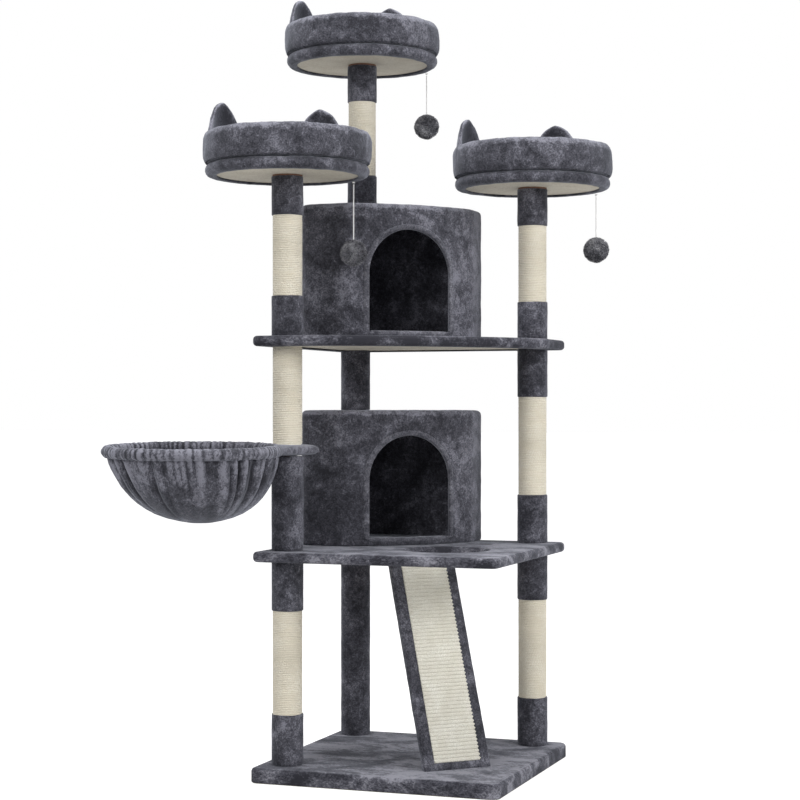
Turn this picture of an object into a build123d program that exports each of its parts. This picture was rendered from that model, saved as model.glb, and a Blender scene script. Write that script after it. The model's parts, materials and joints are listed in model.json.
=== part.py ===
from build123d import *
from math import cos, hypot, pi, sin, sqrt
import os

# Cat tree: three posts, two shelves, two corner condos, three round perches with ears,
# a swivelling hammock, a climbing ramp and three hanging toys.
# Millimetres. +Z is up, the front faces -Y, the origin is the centre of the base's underside.

# Stock and fits
plush = 3.0
fit_gap = 0.3
corner_radius = 20.0
edge_round = 6.0

# Base
base_width = 600.0
base_depth = 588.0
base_board_thickness = 32.0
hem_lift = 1.0

# Shelves
shelf_inset = 3.0
shelf_board_thickness = 18.0
shelf_hem = 42.0
upper_front_flat = 160.0
upper_side_flat = 165.0
upper_bulge = 57.0
hole_diameter = 200.0
hole_shift = 28.0

# Posts
front_left_inset = 64.0
back_left_inset = 59.0
back_right_inset = 74.0
post_inset_back = 58.0
post_inset_front = 78.0
crown_post_shift = 18.0
lower_post_length = 476.0
middle_post_length = 477.0
top_post_length = 375.0
crown_post_length = 378.0
tube_diameter = 53.0
tube_wall = 5.0
plug_length = 20.0
sleeve_diameter = 74.0
sleeve_round = 3.0
long_sisal = 240.0
short_sisal = 187.0
bare_tube_end = 8.0
collar_diameter = 70.0
rope_diameter = 8.2
rope_spacing = 1.4
rope_loops_most = 24

# Condos
condo_margin_left = 14.0
condo_margin_back = 14.0
condo_width = 366.0
condo_depth = 328.0
condo_height = 326.0
condo_wall = 15.0
condo_roof = 18.0
condo_roof_round = 12.0
condo_front_flat = 128.0
condo_side_flat = 72.0
condo_bulge = 35.0
condo_corner = 40.0
condo_blend = 60.0
door_width = 226.0
door_straight = 139.0
door_sill = 18.0
door_from_left = 258.0
door_from_back = 237.0
door_reach = 80.0
door_azimuth = 38.0

# Perches
perch_board_radius = 175.0
perch_board_thickness = 12.0
perch_lip_radius = 190.0
perch_lip_drop = 4.5
perch_lip_width = 25.0
perch_pad = 12.0
bolster_height = 75.0
bolster_outer = 188.0
bolster_inner = 145.0
bolster_swell = 8.0
bolster_shoulder = 7.0
ear_height = 78.0
ear_half_width = 76.0
ear_thickness = 24.0
ear_lean = 8.0
ear_hollow = 6.0
ear_root = 26.0
ear_headings = (86.0, 176.0)

# Hammock
hammock_post_length = 220.0
hammock_hub_height = 28.0
hammock_hub_radius = 22.0
hammock_azimuth = 48.0
hoop_rod = 10.0
hoop_plate_width = 36.0
hoop_plate_thickness = 4.0
rim_diameter = 27.0
nose_reach = 90.0
nose_half_width = 44.0
nose_round = 9.0
bowl_radius = 190.0
bowl_depth = 150.0
bowl_floor_radius = 49.0
bowl_wall = 5.0
bowl_clearance = 5.0
fold_depth = 5.0
fold_count = 24

# Toys
toy_heading = 45.0
left_toy_reach = 168.0
right_toy_reach = 182.0
top_toy_reach = 182.0
toy_ball = 60.0
toy_string = 2.0
toy_knot = 8.0
left_string_length = 132.0
right_string_length = 103.0
top_string_length = 102.0

# Ramp
ramp_foot = 212.0
ramp_run = 195.0
ramp_shift = 12.0
ramp_width = 170.0
ramp_thickness = 18.0
ramp_mat_width = 117.0
ramp_mat_thickness = 3.0
ramp_mat_start = 16.0

# Fasteners
stud_diameter = 8.0
stud_bite = 16.0
bolt_head_diameter = 18.0
bolt_head_height = 6.0
washer_diameter = 26.0
washer_thickness = 1.5
base_bolt_seat = 14.0
screw_diameter = 4.0
screw_head_diameter = 8.0
screw_head_height = 3.0
screw_bite = 14.0
screw_recess = 1.0

# Levels worked out from the stack
base_top = base_board_thickness + plush
shelf_thickness = shelf_board_thickness + plush
middle_board = base_top + lower_post_length
middle_top = middle_board + shelf_thickness
upper_board = middle_top + middle_post_length
upper_top = upper_board + shelf_thickness
perch_level = upper_top + top_post_length
lower_roof_top = middle_top + condo_height
upper_roof_top = upper_top + condo_height
crown_level = upper_roof_top + crown_post_length
hub_bottom = middle_top + hammock_post_length
hub_top = hub_bottom + hammock_hub_height
hub_middle = (hub_bottom + hub_top) / 2

# Plan positions
shelf_width = base_width - 2 * shelf_inset
shelf_depth = base_depth - 2 * shelf_inset
post_back = base_depth / 2 - post_inset_back
post_front = -base_depth / 2 + post_inset_front
front_left = (-base_width / 2 + front_left_inset, post_front)
back_right = (base_width / 2 - back_right_inset, post_back)
back_left = (-base_width / 2 + back_left_inset, post_back)
crown = (back_left[0] + crown_post_shift, post_back)

condo_left = -shelf_width / 2 + condo_margin_left
condo_right = condo_left + condo_width
condo_back = shelf_depth / 2 - condo_margin_back
condo_front = condo_back - condo_depth

sleeve_radius = sleeve_diameter / 2
tube_radius = tube_diameter / 2
bore_radius = tube_radius - tube_wall
stud_radius = stud_diameter / 2
rope_line = tube_radius + fit_gap + rope_diameter / 2
hammock_offset = sleeve_radius + bowl_clearance + fold_depth + bowl_radius
hoop_radius = bowl_radius + hoop_rod / 4
ramp_top = ramp_foot - ramp_run
hole_radius = hole_diameter / 2


def diagonal(along, across):
    """Plan point at a distance along the front-right diagonal and a shift across it."""
    return (along + across) / sqrt(2), (across - along) / sqrt(2)


def at(place, z=0.0):
    """Location above a plan point."""
    return Pos(place[0], place[1], z)


def rod(radius, bottom, top, place=(0.0, 0.0)):
    """Upright round bar."""
    return at(place, bottom) * extrude(Circle(radius), top - bottom)


def ring(outer, inner, bottom, top, place=(0.0, 0.0)):
    """Upright tube."""
    return at(place, bottom) * extrude(Circle(outer) - Circle(inner), top - bottom)


def top_edges(solid):
    return solid.edges().group_by(Axis.Z)[-1]


def bottom_edges(solid):
    return solid.edges().group_by(Axis.Z)[0]


def bowed_corner(left, right, front, back, front_flat, side_flat, bulge):
    """Rectangle in plan whose front-right corner is cut by an arc that bows outwards."""
    arc_front = Vector(left + front_flat, front)
    arc_side = Vector(right, back - side_flat)
    chord = arc_side - arc_front
    outward = Vector(chord.Y, -chord.X).normalized()
    crest = (arc_front + arc_side) * 0.5 + outward * bulge
    sides = Polyline(arc_side, (right, back), (left, back), (left, front), arc_front)
    return make_face([ThreePointArc(arc_front, crest, arc_side), *sides.edges()])


def inset(face, amount):
    """Outline moved inwards, with its corners kept."""
    return offset(face, -amount, kind=Kind.INTERSECTION)


def corner_at(face, x, y):
    return face.vertices().sort_by(lambda point: hypot(point.X - x, point.Y - y))[0]


# Fasteners are made first, because every board and plug is cut by them, grown by the fit gap.
def stud(place, low, high, grow=0.0):
    """Threaded stud that bites into a plug at each end."""
    return rod(stud_radius + grow, low - stud_bite, high + stud_bite, place)


def bolt(place, seat, tip, grow=0.0):
    """Headed bolt from its seat to its tip, with the washer's room behind the seat when grown."""
    way = 1 if tip > seat else -1
    shank = at(place, seat) * extrude(Circle(stud_radius + grow), tip - seat)
    head_low = seat - way * washer_thickness
    head_radius = max(bolt_head_diameter, washer_diameter) / 2 if grow else bolt_head_diameter / 2
    head = at(place, head_low) * extrude(Circle(head_radius + grow), -way * (bolt_head_height + grow))
    neck_radius = washer_diameter / 2 + grow if grow else stud_radius
    neck = at(place, seat) * extrude(Circle(neck_radius), -way * washer_thickness)
    return shank + neck + head


def washer(place, seat, tip):
    """Flat washer under a bolt's head."""
    way = 1 if tip > seat else -1
    hole = stud_radius + fit_gap
    return at(place, seat) * extrude(Circle(washer_diameter / 2) - Circle(hole), -way * washer_thickness)


def screw(place, head, tip, grow=0.0):
    """Countersunk wood screw from the face of its head to its tip."""
    way = 1 if tip > head else -1
    radius = screw_diameter / 2 + grow
    head_radius = screw_head_diameter / 2 + grow
    length = tip - head
    cone_end = way * screw_head_height
    profile = [(0, 0), (head_radius, 0), (radius, cone_end), (radius, length), (0, length)]
    section = Polyline(*profile, close=True)
    return at(place, head) * revolve(Plane.XZ * make_face(section), Axis.Z)


stud_spots = [
    (front_left, middle_board, middle_top),
    (front_left, hub_bottom, hub_top),
    (front_left, upper_board, upper_top),
    (back_right, middle_board, middle_top),
    (back_right, upper_board, upper_top),
]
perch_spots = {
    "left": (front_left, perch_level),
    "right": (back_right, perch_level),
    "top": (crown, crown_level),
}
bolt_spots = [(place, base_bolt_seat, base_top + stud_bite) for place in (front_left, back_right, back_left)]
bolt_spots += [
    (back_left, middle_top, middle_board - stud_bite),
    (back_left, lower_roof_top - condo_roof, lower_roof_top + stud_bite),
    (back_left, upper_top, upper_board - stud_bite),
    (crown, upper_roof_top - condo_roof, upper_roof_top + stud_bite),
]
bolt_spots += [(place, z + perch_board_thickness, z - stud_bite) for place, z in perch_spots.values()]

# Wood screws stand in the middle of the condo walls, and at the two ends of the ramp.
wall_middle = condo_wall / 2
wall_points = [
    (condo_left + wall_middle, condo_back - condo_depth * 0.55),
    (condo_left + wall_middle, condo_back - condo_depth * 0.25),
    (condo_left + condo_front_flat * 0.6, condo_front + wall_middle),
    (condo_right - wall_middle, condo_back - condo_side_flat * 0.5),
    (condo_left + condo_width * 0.35, condo_back - wall_middle),
    (condo_left + condo_width * 0.7, condo_back - wall_middle),
]
ramp_lean = ramp_run / lower_post_length
ramp_across = ramp_thickness * hypot(1, ramp_lean)
screw_spots = []
for point in wall_points:
    screw_spots.append((point, middle_board, middle_top + screw_bite))
    screw_spots.append((point, lower_roof_top - edge_round, lower_roof_top - condo_roof - screw_bite))
    screw_spots.append((point, upper_board, upper_top + screw_bite))
    screw_spots.append((point, upper_roof_top - edge_round, upper_roof_top - condo_roof - screw_bite))
for side in (-1, 1):
    across = ramp_shift + side * ramp_width / 4
    half_bite = ramp_lean * screw_bite / 2
    foot_spot = diagonal(ramp_foot - ramp_across / 2 - half_bite, across)
    top_spot = diagonal(ramp_top - ramp_across / 2 + half_bite, across)
    screw_spots.append((foot_spot, screw_recess, base_top + screw_bite))
    screw_spots.append((top_spot, middle_top - plush, middle_board - screw_bite))

fastener_room = [stud(*spot, grow=fit_gap) for spot in stud_spots]
fastener_room += [bolt(*spot, grow=fit_gap) for spot in bolt_spots]
fastener_room += [screw(*spot, grow=fit_gap) for spot in screw_spots]


def drilled(solid):
    """The solid less the room of every fastener that reaches its box."""
    box = solid.bounding_box()
    for room in fastener_room:
        reach = room.bounding_box()
        apart = any(
            high < low
            for low, high in [
                (box.min.X, reach.max.X),
                (box.min.Y, reach.max.Y),
                (box.min.Z, reach.max.Z),
                (reach.min.X, box.max.X),
                (reach.min.Y, box.max.Y),
                (reach.min.Z, box.max.Z),
            ]
        )
        if not apart:
            solid = solid - room
    return solid


nodes = {}

# Base: a thick board with a plush cover over its top and sides
base_board_blank = extrude(
    RectangleRounded(base_width - 2 * plush, base_depth - 2 * plush, corner_radius - plush),
    base_board_thickness,
)
base_board_blank = fillet(top_edges(base_board_blank), edge_round)
nodes["base_board"] = drilled(base_board_blank)

board_room = extrude(
    RectangleRounded(
        base_width - 2 * plush + 2 * fit_gap,
        base_depth - 2 * plush + 2 * fit_gap,
        corner_radius - plush + fit_gap,
    ),
    base_board_thickness,
)
board_room = fillet(top_edges(board_room), edge_round)
base_skin = Pos(0, 0, hem_lift) * extrude(
    RectangleRounded(base_width, base_depth, corner_radius), base_top - hem_lift
)
base_skin = fillet(top_edges(base_skin), edge_round + plush)
nodes["base_cover"] = drilled(base_skin - board_room)


# Shelves: boards wrapped in plush, with a hem folded under and cut out round the posts
def shelf(outline, bottom, posts, hole=None):
    """Board and plush cover of a shelf whose board starts at the given height."""
    core = fillet(inset(outline, plush).vertices(), corner_radius - plush)
    room = fillet(inset(outline, plush - fit_gap).vertices(), corner_radius - plush + fit_gap)
    skin = fillet(outline.vertices(), corner_radius)
    under = fillet(inset(outline, plush + shelf_hem).vertices(), corner_radius)

    def rounded(face, low, height, radius):
        block = Pos(0, 0, low) * extrude(face, height)
        return fillet(top_edges(block) + bottom_edges(block), radius)

    board = rounded(core, bottom, shelf_board_thickness, edge_round)
    cavity = rounded(room, bottom, shelf_board_thickness, edge_round)
    cover = rounded(skin, bottom - plush, shelf_board_thickness + 2 * plush, edge_round + plush)
    if hole:
        lined = rod(hole_radius + plush, bottom, bottom + shelf_board_thickness, hole)
        board = board - lined
        cavity = cavity - rod(hole_radius + plush - fit_gap, bottom, bottom + shelf_board_thickness, hole)
        cover = cover - rod(hole_radius, bottom - plush, bottom + shelf_thickness, hole)
    cover = cover - cavity
    cover = cover - Pos(0, 0, bottom - plush) * extrude(under, plush)
    for place in posts:
        cover = cover - rod(sleeve_radius + fit_gap, bottom - plush, bottom, place)
    return drilled(board), drilled(cover)


shelf_left = -shelf_width / 2
shelf_back = shelf_depth / 2
hole_centre = diagonal(ramp_top + hole_radius, hole_shift)
middle_outline = Rectangle(shelf_width, shelf_depth).face()
upper_outline = bowed_corner(
    shelf_left, -shelf_left, -shelf_back, shelf_back, upper_front_flat, upper_side_flat, upper_bulge
)
all_posts = [front_left, back_right, back_left]
nodes["middle_shelf_board"], nodes["middle_shelf_cover"] = shelf(
    middle_outline, middle_board, all_posts, hole_centre
)
nodes["upper_shelf_board"], nodes["upper_shelf_cover"] = shelf(upper_outline, upper_board, all_posts)


# Posts: cardboard tubes with end plugs, plush sleeves and sisal windings
def sleeve(place, bottom, top):
    """Plush sleeve round a tube, with softened ends."""
    cuff = ring(sleeve_radius, tube_radius + fit_gap, bottom, top, place)
    circles = cuff.edges().filter_by(GeomType.CIRCLE)
    rims = circles.filter_by(lambda edge: edge.radius > sleeve_radius - fit_gap)
    return fillet(rims, sleeve_round)


def winding(place, bottom, top):
    """Sisal rope wound round a tube as one helix of half turns with straight ends."""
    low = bottom + fit_gap + rope_diameter / 2
    high = top - fit_gap - rope_diameter / 2
    loops = min(rope_loops_most, int((high - low) / (rope_diameter + rope_spacing)))
    pitch = (high - low) / loops
    reach = hypot(rope_line, pitch / 4)
    runs = [Line((rope_line, -rope_diameter, low), (rope_line, 0, low))]
    for half in range(2 * loops):
        side = 1 - 2 * (half % 2)
        z = low + half * pitch / 2
        start = (side * rope_line, 0, z)
        crest = (0, side * reach, z + pitch / 4)
        end = (-side * rope_line, 0, z + pitch / 2)
        runs.append(ThreePointArc(start, crest, end))
    runs.append(Line((rope_line, 0, high), (rope_line, rope_diameter, high)))
    path = Wire(runs)
    section = Plane(origin=path @ 0, z_dir=path % 0) * Circle(rope_diameter / 2)
    rope = sweep(section, path=path)
    points = [run @ (step / 12) for run in runs[1:-1] for step in range(12)]
    least = min(
        (points[i] - points[j]).length for i in range(36) for j in range(i + 13, min(i + 36, len(points)))
    )
    print(f"winding of {loops} loops: least gap to itself {least - rope_diameter:.2f} mm")
    return at(place) * rope


def banded(bottom, top, sisal):
    """Heights that part a tube into plush, sisal and plush."""
    spare = (top - bottom - sisal) / 2
    return bottom + spare, top - spare


tube_spots = {
    "front_left_lower_tube": (front_left, base_top, middle_board),
    "front_left_middle_tube": (front_left, middle_top, hub_bottom),
    "front_left_hammock_tube": (front_left, hub_top, upper_board),
    "front_left_top_tube": (front_left, upper_top, perch_level),
    "back_right_lower_tube": (back_right, base_top, middle_board),
    "back_right_middle_tube": (back_right, middle_top, upper_board),
    "back_right_top_tube": (back_right, upper_top, perch_level),
    "back_left_lower_tube": (back_left, base_top, middle_board),
    "back_left_middle_tube": (back_left, lower_roof_top, upper_board),
    "back_left_top_tube": (crown, upper_roof_top, crown_level),
}
sisal_of = {
    "front_left_lower_tube": long_sisal,
    "front_left_top_tube": short_sisal,
    "back_right_lower_tube": long_sisal,
    "back_right_middle_tube": long_sisal,
    "back_right_top_tube": short_sisal,
    "back_left_top_tube": short_sisal,
}
sleeves = {"front_left": [], "back_right": [], "back_left": []}
plugs = []
for name, (place, bottom, top) in tube_spots.items():
    nodes[name] = ring(tube_radius, bore_radius, bottom, top, place)
    for end in (bottom, top - plug_length):
        plugs.append(drilled(rod(bore_radius - fit_gap, end, end + plug_length, place)))
    post = name.rsplit("_", 2)[0]
    sleeve_top = top
    if "top" in name:
        sleeve_top = top - bare_tube_end
        nodes[name] = nodes[name] + ring(collar_diameter / 2, bore_radius, sleeve_top, top, place)
    if name in sisal_of:
        rope_low, rope_high = banded(bottom, top, sisal_of[name])
        sleeves[post] += [sleeve(place, bottom, rope_low), sleeve(place, rope_high, sleeve_top)]
        nodes[name.replace("tube", "sisal")] = winding(place, rope_low, rope_high)
    elif name == "front_left_hammock_tube":
        nodes[name.replace("tube", "sisal")] = winding(place, bottom, top)
    else:
        sleeves[post].append(sleeve(place, bottom, sleeve_top))
for post, cuffs in sleeves.items():
    nodes[f"{post}_sleeves"] = Compound(cuffs)
nodes["post_end_plugs"] = Compound(plugs)


# Condos: one bent wall with an arched door, a flat back and a roof
def condo(bottom):
    """Roof, bent wall and back board of a condo that stands on the given height."""
    outline = bowed_corner(
        condo_left, condo_right, condo_front, condo_back, condo_front_flat, condo_side_flat, condo_bulge
    )
    outer = fillet(corner_at(outline, condo_left, condo_front), condo_corner)
    outer = fillet(corner_at(outer, condo_left + condo_front_flat, condo_front), condo_blend)
    outer = fillet(corner_at(outer, condo_right, condo_back - condo_side_flat), condo_blend)
    room = inset(outer, condo_wall)
    inner_width = condo_width - 2 * condo_wall
    back_place = Pos(condo_left + condo_width / 2, condo_back - condo_wall / 2)
    back_face = back_place * Rectangle(inner_width, condo_wall)
    wall_height = condo_height - condo_roof
    bent = extrude(outer - room - back_face, wall_height)
    arch_width = door_width / 2
    arch_top = door_sill + door_straight
    spring_left = (-arch_width, arch_top)
    spring_right = (arch_width, arch_top)
    jambs = Polyline(spring_left, (-arch_width, door_sill), (arch_width, door_sill), spring_right)
    arch = make_face([*jambs.edges(), ThreePointArc(spring_left, (0, arch_top + arch_width), spring_right)])
    door_point = (condo_left + door_from_left, condo_back - door_from_back)
    door_plane = at(door_point) * Rot(0, 0, door_azimuth) * Rot(90, 0, 0)
    bent = bent - extrude(door_plane * arch, door_reach, both=True)
    panel = extrude(back_face, wall_height)
    roof = Pos(0, 0, wall_height) * extrude(outer, condo_roof)
    roof = fillet(top_edges(roof), condo_roof_round)
    lift = Pos(0, 0, bottom)
    return drilled(lift * roof), drilled(lift * bent), drilled(lift * panel)


for level, bottom in (("lower", middle_top), ("upper", upper_top)):
    roof, bent, panel = condo(bottom)
    nodes[f"{level}_condo_roof"] = roof
    nodes[f"{level}_condo_wall"] = bent
    nodes[f"{level}_condo_back"] = panel


# Perches: a round board, a plush cover with a rolled lip, a padded bolster and two ears
pad_top = perch_board_thickness + perch_pad
bolster_top = pad_top + bolster_height
bolster_middle = (bolster_outer + bolster_inner) / 2


def bolster_section(grow=0.0):
    """Bolster cut across: flat below, swelling sides, crowned top."""
    shoulder = bolster_top - bolster_shoulder
    half = (pad_top + shoulder) / 2
    low_in = (bolster_inner, pad_top)
    low_out = (bolster_outer, pad_top)
    high_out = (bolster_outer, shoulder)
    high_in = (bolster_inner, shoulder)
    section = make_face(
        [
            Line(low_in, low_out),
            ThreePointArc(low_out, (bolster_outer + bolster_swell, half), high_out),
            ThreePointArc(high_out, (bolster_middle, bolster_top), high_in),
            ThreePointArc(high_in, (bolster_inner - bolster_swell, half), low_in),
        ]
    )
    return offset(section, grow) if grow else section


def cover_section():
    """Perch cover cut across: padded floor over the board and a lip rolled under its edge."""
    inside = perch_board_radius + fit_gap
    lip_in = perch_lip_radius - perch_lip_width
    soft = (pad_top + perch_lip_drop) / 3
    face = make_face(
        Polyline(
            (0, perch_board_thickness),
            (inside, perch_board_thickness),
            (inside, 0),
            (lip_in, 0),
            (lip_in, -perch_lip_drop),
            (perch_lip_radius, -perch_lip_drop),
            (perch_lip_radius, pad_top),
            (0, pad_top),
            close=True,
        )
    )
    lip = [corner_at(face, perch_lip_radius, -perch_lip_drop), corner_at(face, perch_lip_radius, pad_top)]
    return fillet(lip, soft)


def turned(face, degrees=360.0):
    """Section in radius and height turned about the perch's axis."""
    return revolve(Plane.XZ * face, Axis.Z, degrees)


def ear():
    """Pointed ear over the +X point of a perch: follows the ring, leans inwards, sits on the bolster."""
    root = bolster_top - ear_root
    tip = bolster_top + ear_height
    middle = (root + tip) / 2
    outside = bolster_outer
    inside = outside - ear_thickness
    crest = inside - ear_lean + ear_thickness / 2
    half_tip = ear_thickness / 4
    outer_middle = (outside - ear_lean / 4, middle)
    inner_middle = (inside - ear_lean / 2 + ear_hollow, middle)
    blade = make_face(
        [
            ThreePointArc((outside, root), outer_middle, (crest + half_tip, tip)),
            Line((crest + half_tip, tip), (crest - half_tip, tip)),
            ThreePointArc((crest - half_tip, tip), inner_middle, (inside, root)),
            Line((inside, root), (outside, root)),
        ]
    )
    spread = 2 * ear_half_width / inside * 180 / pi
    sweep_round = Rot(0, 0, -spread / 2) * turned(blade, spread)
    cheek = ear_half_width * 0.78
    point = ear_half_width / 6
    front = make_face(
        [
            Line((-ear_half_width, root), (ear_half_width, root)),
            ThreePointArc((ear_half_width, root), (cheek, middle), (point, tip - point)),
            ThreePointArc((point, tip - point), (0, tip), (-point, tip - point)),
            ThreePointArc((-point, tip - point), (-cheek, middle), (-ear_half_width, root)),
        ]
    )
    prism = extrude(Plane.YZ * front, outside + ear_thickness)
    return (sweep_round & prism) - turned(bolster_section(fit_gap))


ears = []
for name, (place, level) in perch_spots.items():
    stand = at(place, level)
    nodes[f"{name}_perch_board"] = drilled(stand * rod(perch_board_radius, 0, perch_board_thickness))
    nodes[f"{name}_perch_cover"] = drilled(stand * turned(cover_section()))
    nodes[f"{name}_perch_bolster"] = stand * turned(bolster_section())
    ears += [stand * Rot(0, 0, turn) * ear() for turn in ear_headings]
nodes["perch_ears"] = Compound([solid for shape in ears for solid in shape.solids()])


# Hammock: a steel hoop with a hub on the front-left post, a ruched plush rim and a gathered bowl
def wavy(radius, depth, z):
    """Closed outline of gathers: arcs that bow outwards and inwards by turns."""
    step = pi / fold_count
    runs = []
    for k in range(2 * fold_count):
        bow = depth if k % 2 == 0 else -depth
        ends = [(radius * cos(step * i), radius * sin(step * i), z) for i in (k, k + 1)]
        crest = ((radius + bow) * cos(step * (k + 0.5)), (radius + bow) * sin(step * (k + 0.5)), z)
        runs.append(ThreePointArc(ends[0], crest, ends[1]))
    return make_face(runs)


def bowl_skin(inset_by):
    """Solid of the bowl's skin, moved inwards by a wall."""
    levels = 5
    top = -rim_diameter / 2 - fit_gap
    sections = []
    for k in range(levels + 1):
        share = k / levels
        drop = sin(share * pi / 2)
        spread = bowl_floor_radius + (bowl_radius - bowl_floor_radius) * sqrt(1 - drop**2) ** 0.8
        z = top - (bowl_depth - inset_by) * drop
        sections.append(wavy(spread - inset_by, fold_depth * (1 - share * 0.8), z))
    return loft(sections, ruled=True)


hammock_stand = at(front_left, hub_middle) * Rot(0, 0, hammock_azimuth)
hoop_place = Pos(-hammock_offset, 0, 0)
half_hub = hammock_hub_height / 2


def hoop(radius):
    """Round hoop of the given rod radius about the bowl."""
    return hoop_place * Torus(hoop_radius, radius)


def plate(grow=0.0):
    """Flat bar from the hub to the hoop."""
    span = hammock_offset - hoop_radius
    return Pos(-span / 2, 0, 0) * Box(
        span + 2 * grow, hoop_plate_width + 2 * grow, hoop_plate_thickness + 2 * grow
    )


hub = rod(hammock_hub_radius, -half_hub, half_hub)
frame = hub + plate() + hoop(hoop_rod / 2)
frame = frame - rod(stud_radius + fit_gap, -half_hub, half_hub)
nodes["hammock_frame"] = hammock_stand * frame

nose_back = hammock_offset - hoop_radius
nose_length = nose_reach + nose_back
nose_face = Pos((nose_reach - nose_back) / 2, 0) * Rectangle(nose_length, 2 * nose_half_width)
nose_tip = nose_face.vertices().sort_by(Axis.X)[-2:]
nose_face = fillet(nose_tip, nose_half_width - fit_gap)
nose = Pos(0, 0, -rim_diameter / 2) * extrude(nose_face, rim_diameter)
nose_rims = [edge for edge in top_edges(nose) + bottom_edges(nose) if edge.center().X > -nose_back + fit_gap]
nose = fillet(nose_rims, nose_round)
inside_hoop = hoop_place * rod(hoop_radius, -half_hub, half_hub)
rim = (nose - inside_hoop) + hoop(rim_diameter / 2)
rim = rim - hoop(hoop_rod / 2 + fit_gap) - plate(fit_gap)
rim = rim - rod(hammock_hub_radius + fit_gap, -half_hub, half_hub)
nodes["hammock_rim"] = hammock_stand * rim

bowl = bowl_skin(0.0) - bowl_skin(bowl_wall)
nodes["hammock_bowl"] = hammock_stand * hoop_place * bowl

# Toys: a knot under each perch's lip, a taut string and a plush ball
string_length = {"left": left_string_length, "right": right_string_length, "top": top_string_length}
toy_reach = {"left": left_toy_reach, "right": right_toy_reach, "top": top_toy_reach}
for name, (place, level) in perch_spots.items():
    knot_radius = toy_knot / 2
    hook_level = level - perch_lip_drop - fit_gap - knot_radius
    hang = at(place, hook_level) * Rot(0, 0, toy_heading) * Pos(toy_reach[name], 0, 0)
    string_top = -knot_radius - fit_gap
    string_end = string_top - string_length[name]
    nodes[f"{name}_toy_knot"] = hang * Sphere(knot_radius)
    nodes[f"{name}_toy_string"] = hang * rod(toy_string / 2, string_end, string_top)
    nodes[f"{name}_toy_ball"] = hang * Pos(0, 0, string_end - toy_ball / 2) * Sphere(toy_ball / 2)


# Ramp: a plush-covered board from the base to the shelf's hole, with a sisal mat on its face
def leaning(front, thickness, width, low, high, shift):
    """Board leaning along the diagonal, cut level at both ends; front is its face's foot."""
    face_low = front - ramp_lean * (low - base_top)
    face_high = front - ramp_lean * (high - base_top)
    across = thickness * hypot(1, ramp_lean)
    front_line = [(face_low, low), (face_high, high)]
    back_line = [(face_high - across, high), (face_low - across, low)]
    profile = make_face(Polyline(*front_line, *back_line, close=True))
    slab = Pos(0, width / 2, 0) * extrude(Plane.XZ * profile, width)
    return Rot(0, 0, -45) * Pos(0, shift, 0) * slab


ramp = leaning(ramp_foot, ramp_thickness, ramp_width, base_top, middle_board, ramp_shift)
nodes["ramp_board"] = drilled(ramp)
mat_front = ramp_foot + ramp_mat_thickness * hypot(1, ramp_lean)
mat_low = base_top + ramp_mat_start
mat_high = middle_board - fit_gap
nodes["ramp_sisal"] = leaning(mat_front, ramp_mat_thickness, ramp_mat_width, mat_low, mat_high, ramp_shift)

# Fasteners
nodes["studs"] = Compound([stud(*spot) for spot in stud_spots])
nodes["bolts"] = Compound([bolt(*spot) for spot in bolt_spots] + [washer(*spot) for spot in bolt_spots])
nodes["screws"] = Compound([screw(*spot) for spot in screw_spots])

os.makedirs("parts", exist_ok=True)
for name, shape in nodes.items():
    export_step(shape, f"parts/{name}.step")
print(f"{len(nodes)} nodes written")
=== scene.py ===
# %% [markdown]
# A cat tree in dark plush and pale sisal. The rigid model comes first: it gives every board,
# tube and bolt its place, in metres, and it is never moved. The soft things are then made over
# it, one at a time: plush covers, wound rope, padded rings, a gathered hammock.

# %% Load the rigid model
import bpy
import bmesh
import json
import numpy as np
from math import atan2, cos, pi, radians, sin, sqrt, tan
from mathutils import Matrix, Vector, noise


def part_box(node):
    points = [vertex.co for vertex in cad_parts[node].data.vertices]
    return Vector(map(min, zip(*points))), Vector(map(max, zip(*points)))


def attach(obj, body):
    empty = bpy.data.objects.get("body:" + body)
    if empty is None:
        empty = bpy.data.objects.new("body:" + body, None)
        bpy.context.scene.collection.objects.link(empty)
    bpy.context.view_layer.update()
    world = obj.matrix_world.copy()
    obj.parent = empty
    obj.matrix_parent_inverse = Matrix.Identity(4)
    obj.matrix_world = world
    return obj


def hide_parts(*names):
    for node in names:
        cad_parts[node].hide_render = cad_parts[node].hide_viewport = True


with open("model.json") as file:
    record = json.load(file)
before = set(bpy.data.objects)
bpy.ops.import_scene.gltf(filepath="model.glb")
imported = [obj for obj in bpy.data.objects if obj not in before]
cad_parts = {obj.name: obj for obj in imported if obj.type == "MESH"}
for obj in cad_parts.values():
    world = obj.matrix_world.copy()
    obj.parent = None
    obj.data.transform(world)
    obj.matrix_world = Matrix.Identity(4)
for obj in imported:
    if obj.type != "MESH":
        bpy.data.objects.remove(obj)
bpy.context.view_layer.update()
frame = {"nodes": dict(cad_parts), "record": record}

# %% [markdown]
# The plush of this tree is a short crushed pile. Where the pile lies over, it catches the light
# in paler, marbled streaks. One shader group makes that pattern from three sizes of noise, so
# that the covers, the padded rings and the hammock share it with their own colours. A mesh can
# store a value on its points that paints light and shade into the colour: a painted highlight
# on ridges and edges, painted shade in the valleys.

# %% Crushed plush as a shared shader group
def link_up(tree, *pairs):
    """Joins sockets in order: (from, to) pairs."""
    for source, target in pairs:
        tree.links.new(source, target)


def new_group(name, inputs, outputs):
    """Empty shader group with typed sockets, and its two end nodes."""
    group = bpy.data.node_groups.new(name, "ShaderNodeTree")
    for title, kind, value in inputs:
        group.interface.new_socket(title, in_out="INPUT", socket_type=kind).default_value = value
    for title, kind in outputs:
        group.interface.new_socket(title, in_out="OUTPUT", socket_type=kind)
    return group, group.nodes.new("NodeGroupInput"), group.nodes.new("NodeGroupOutput")


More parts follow.
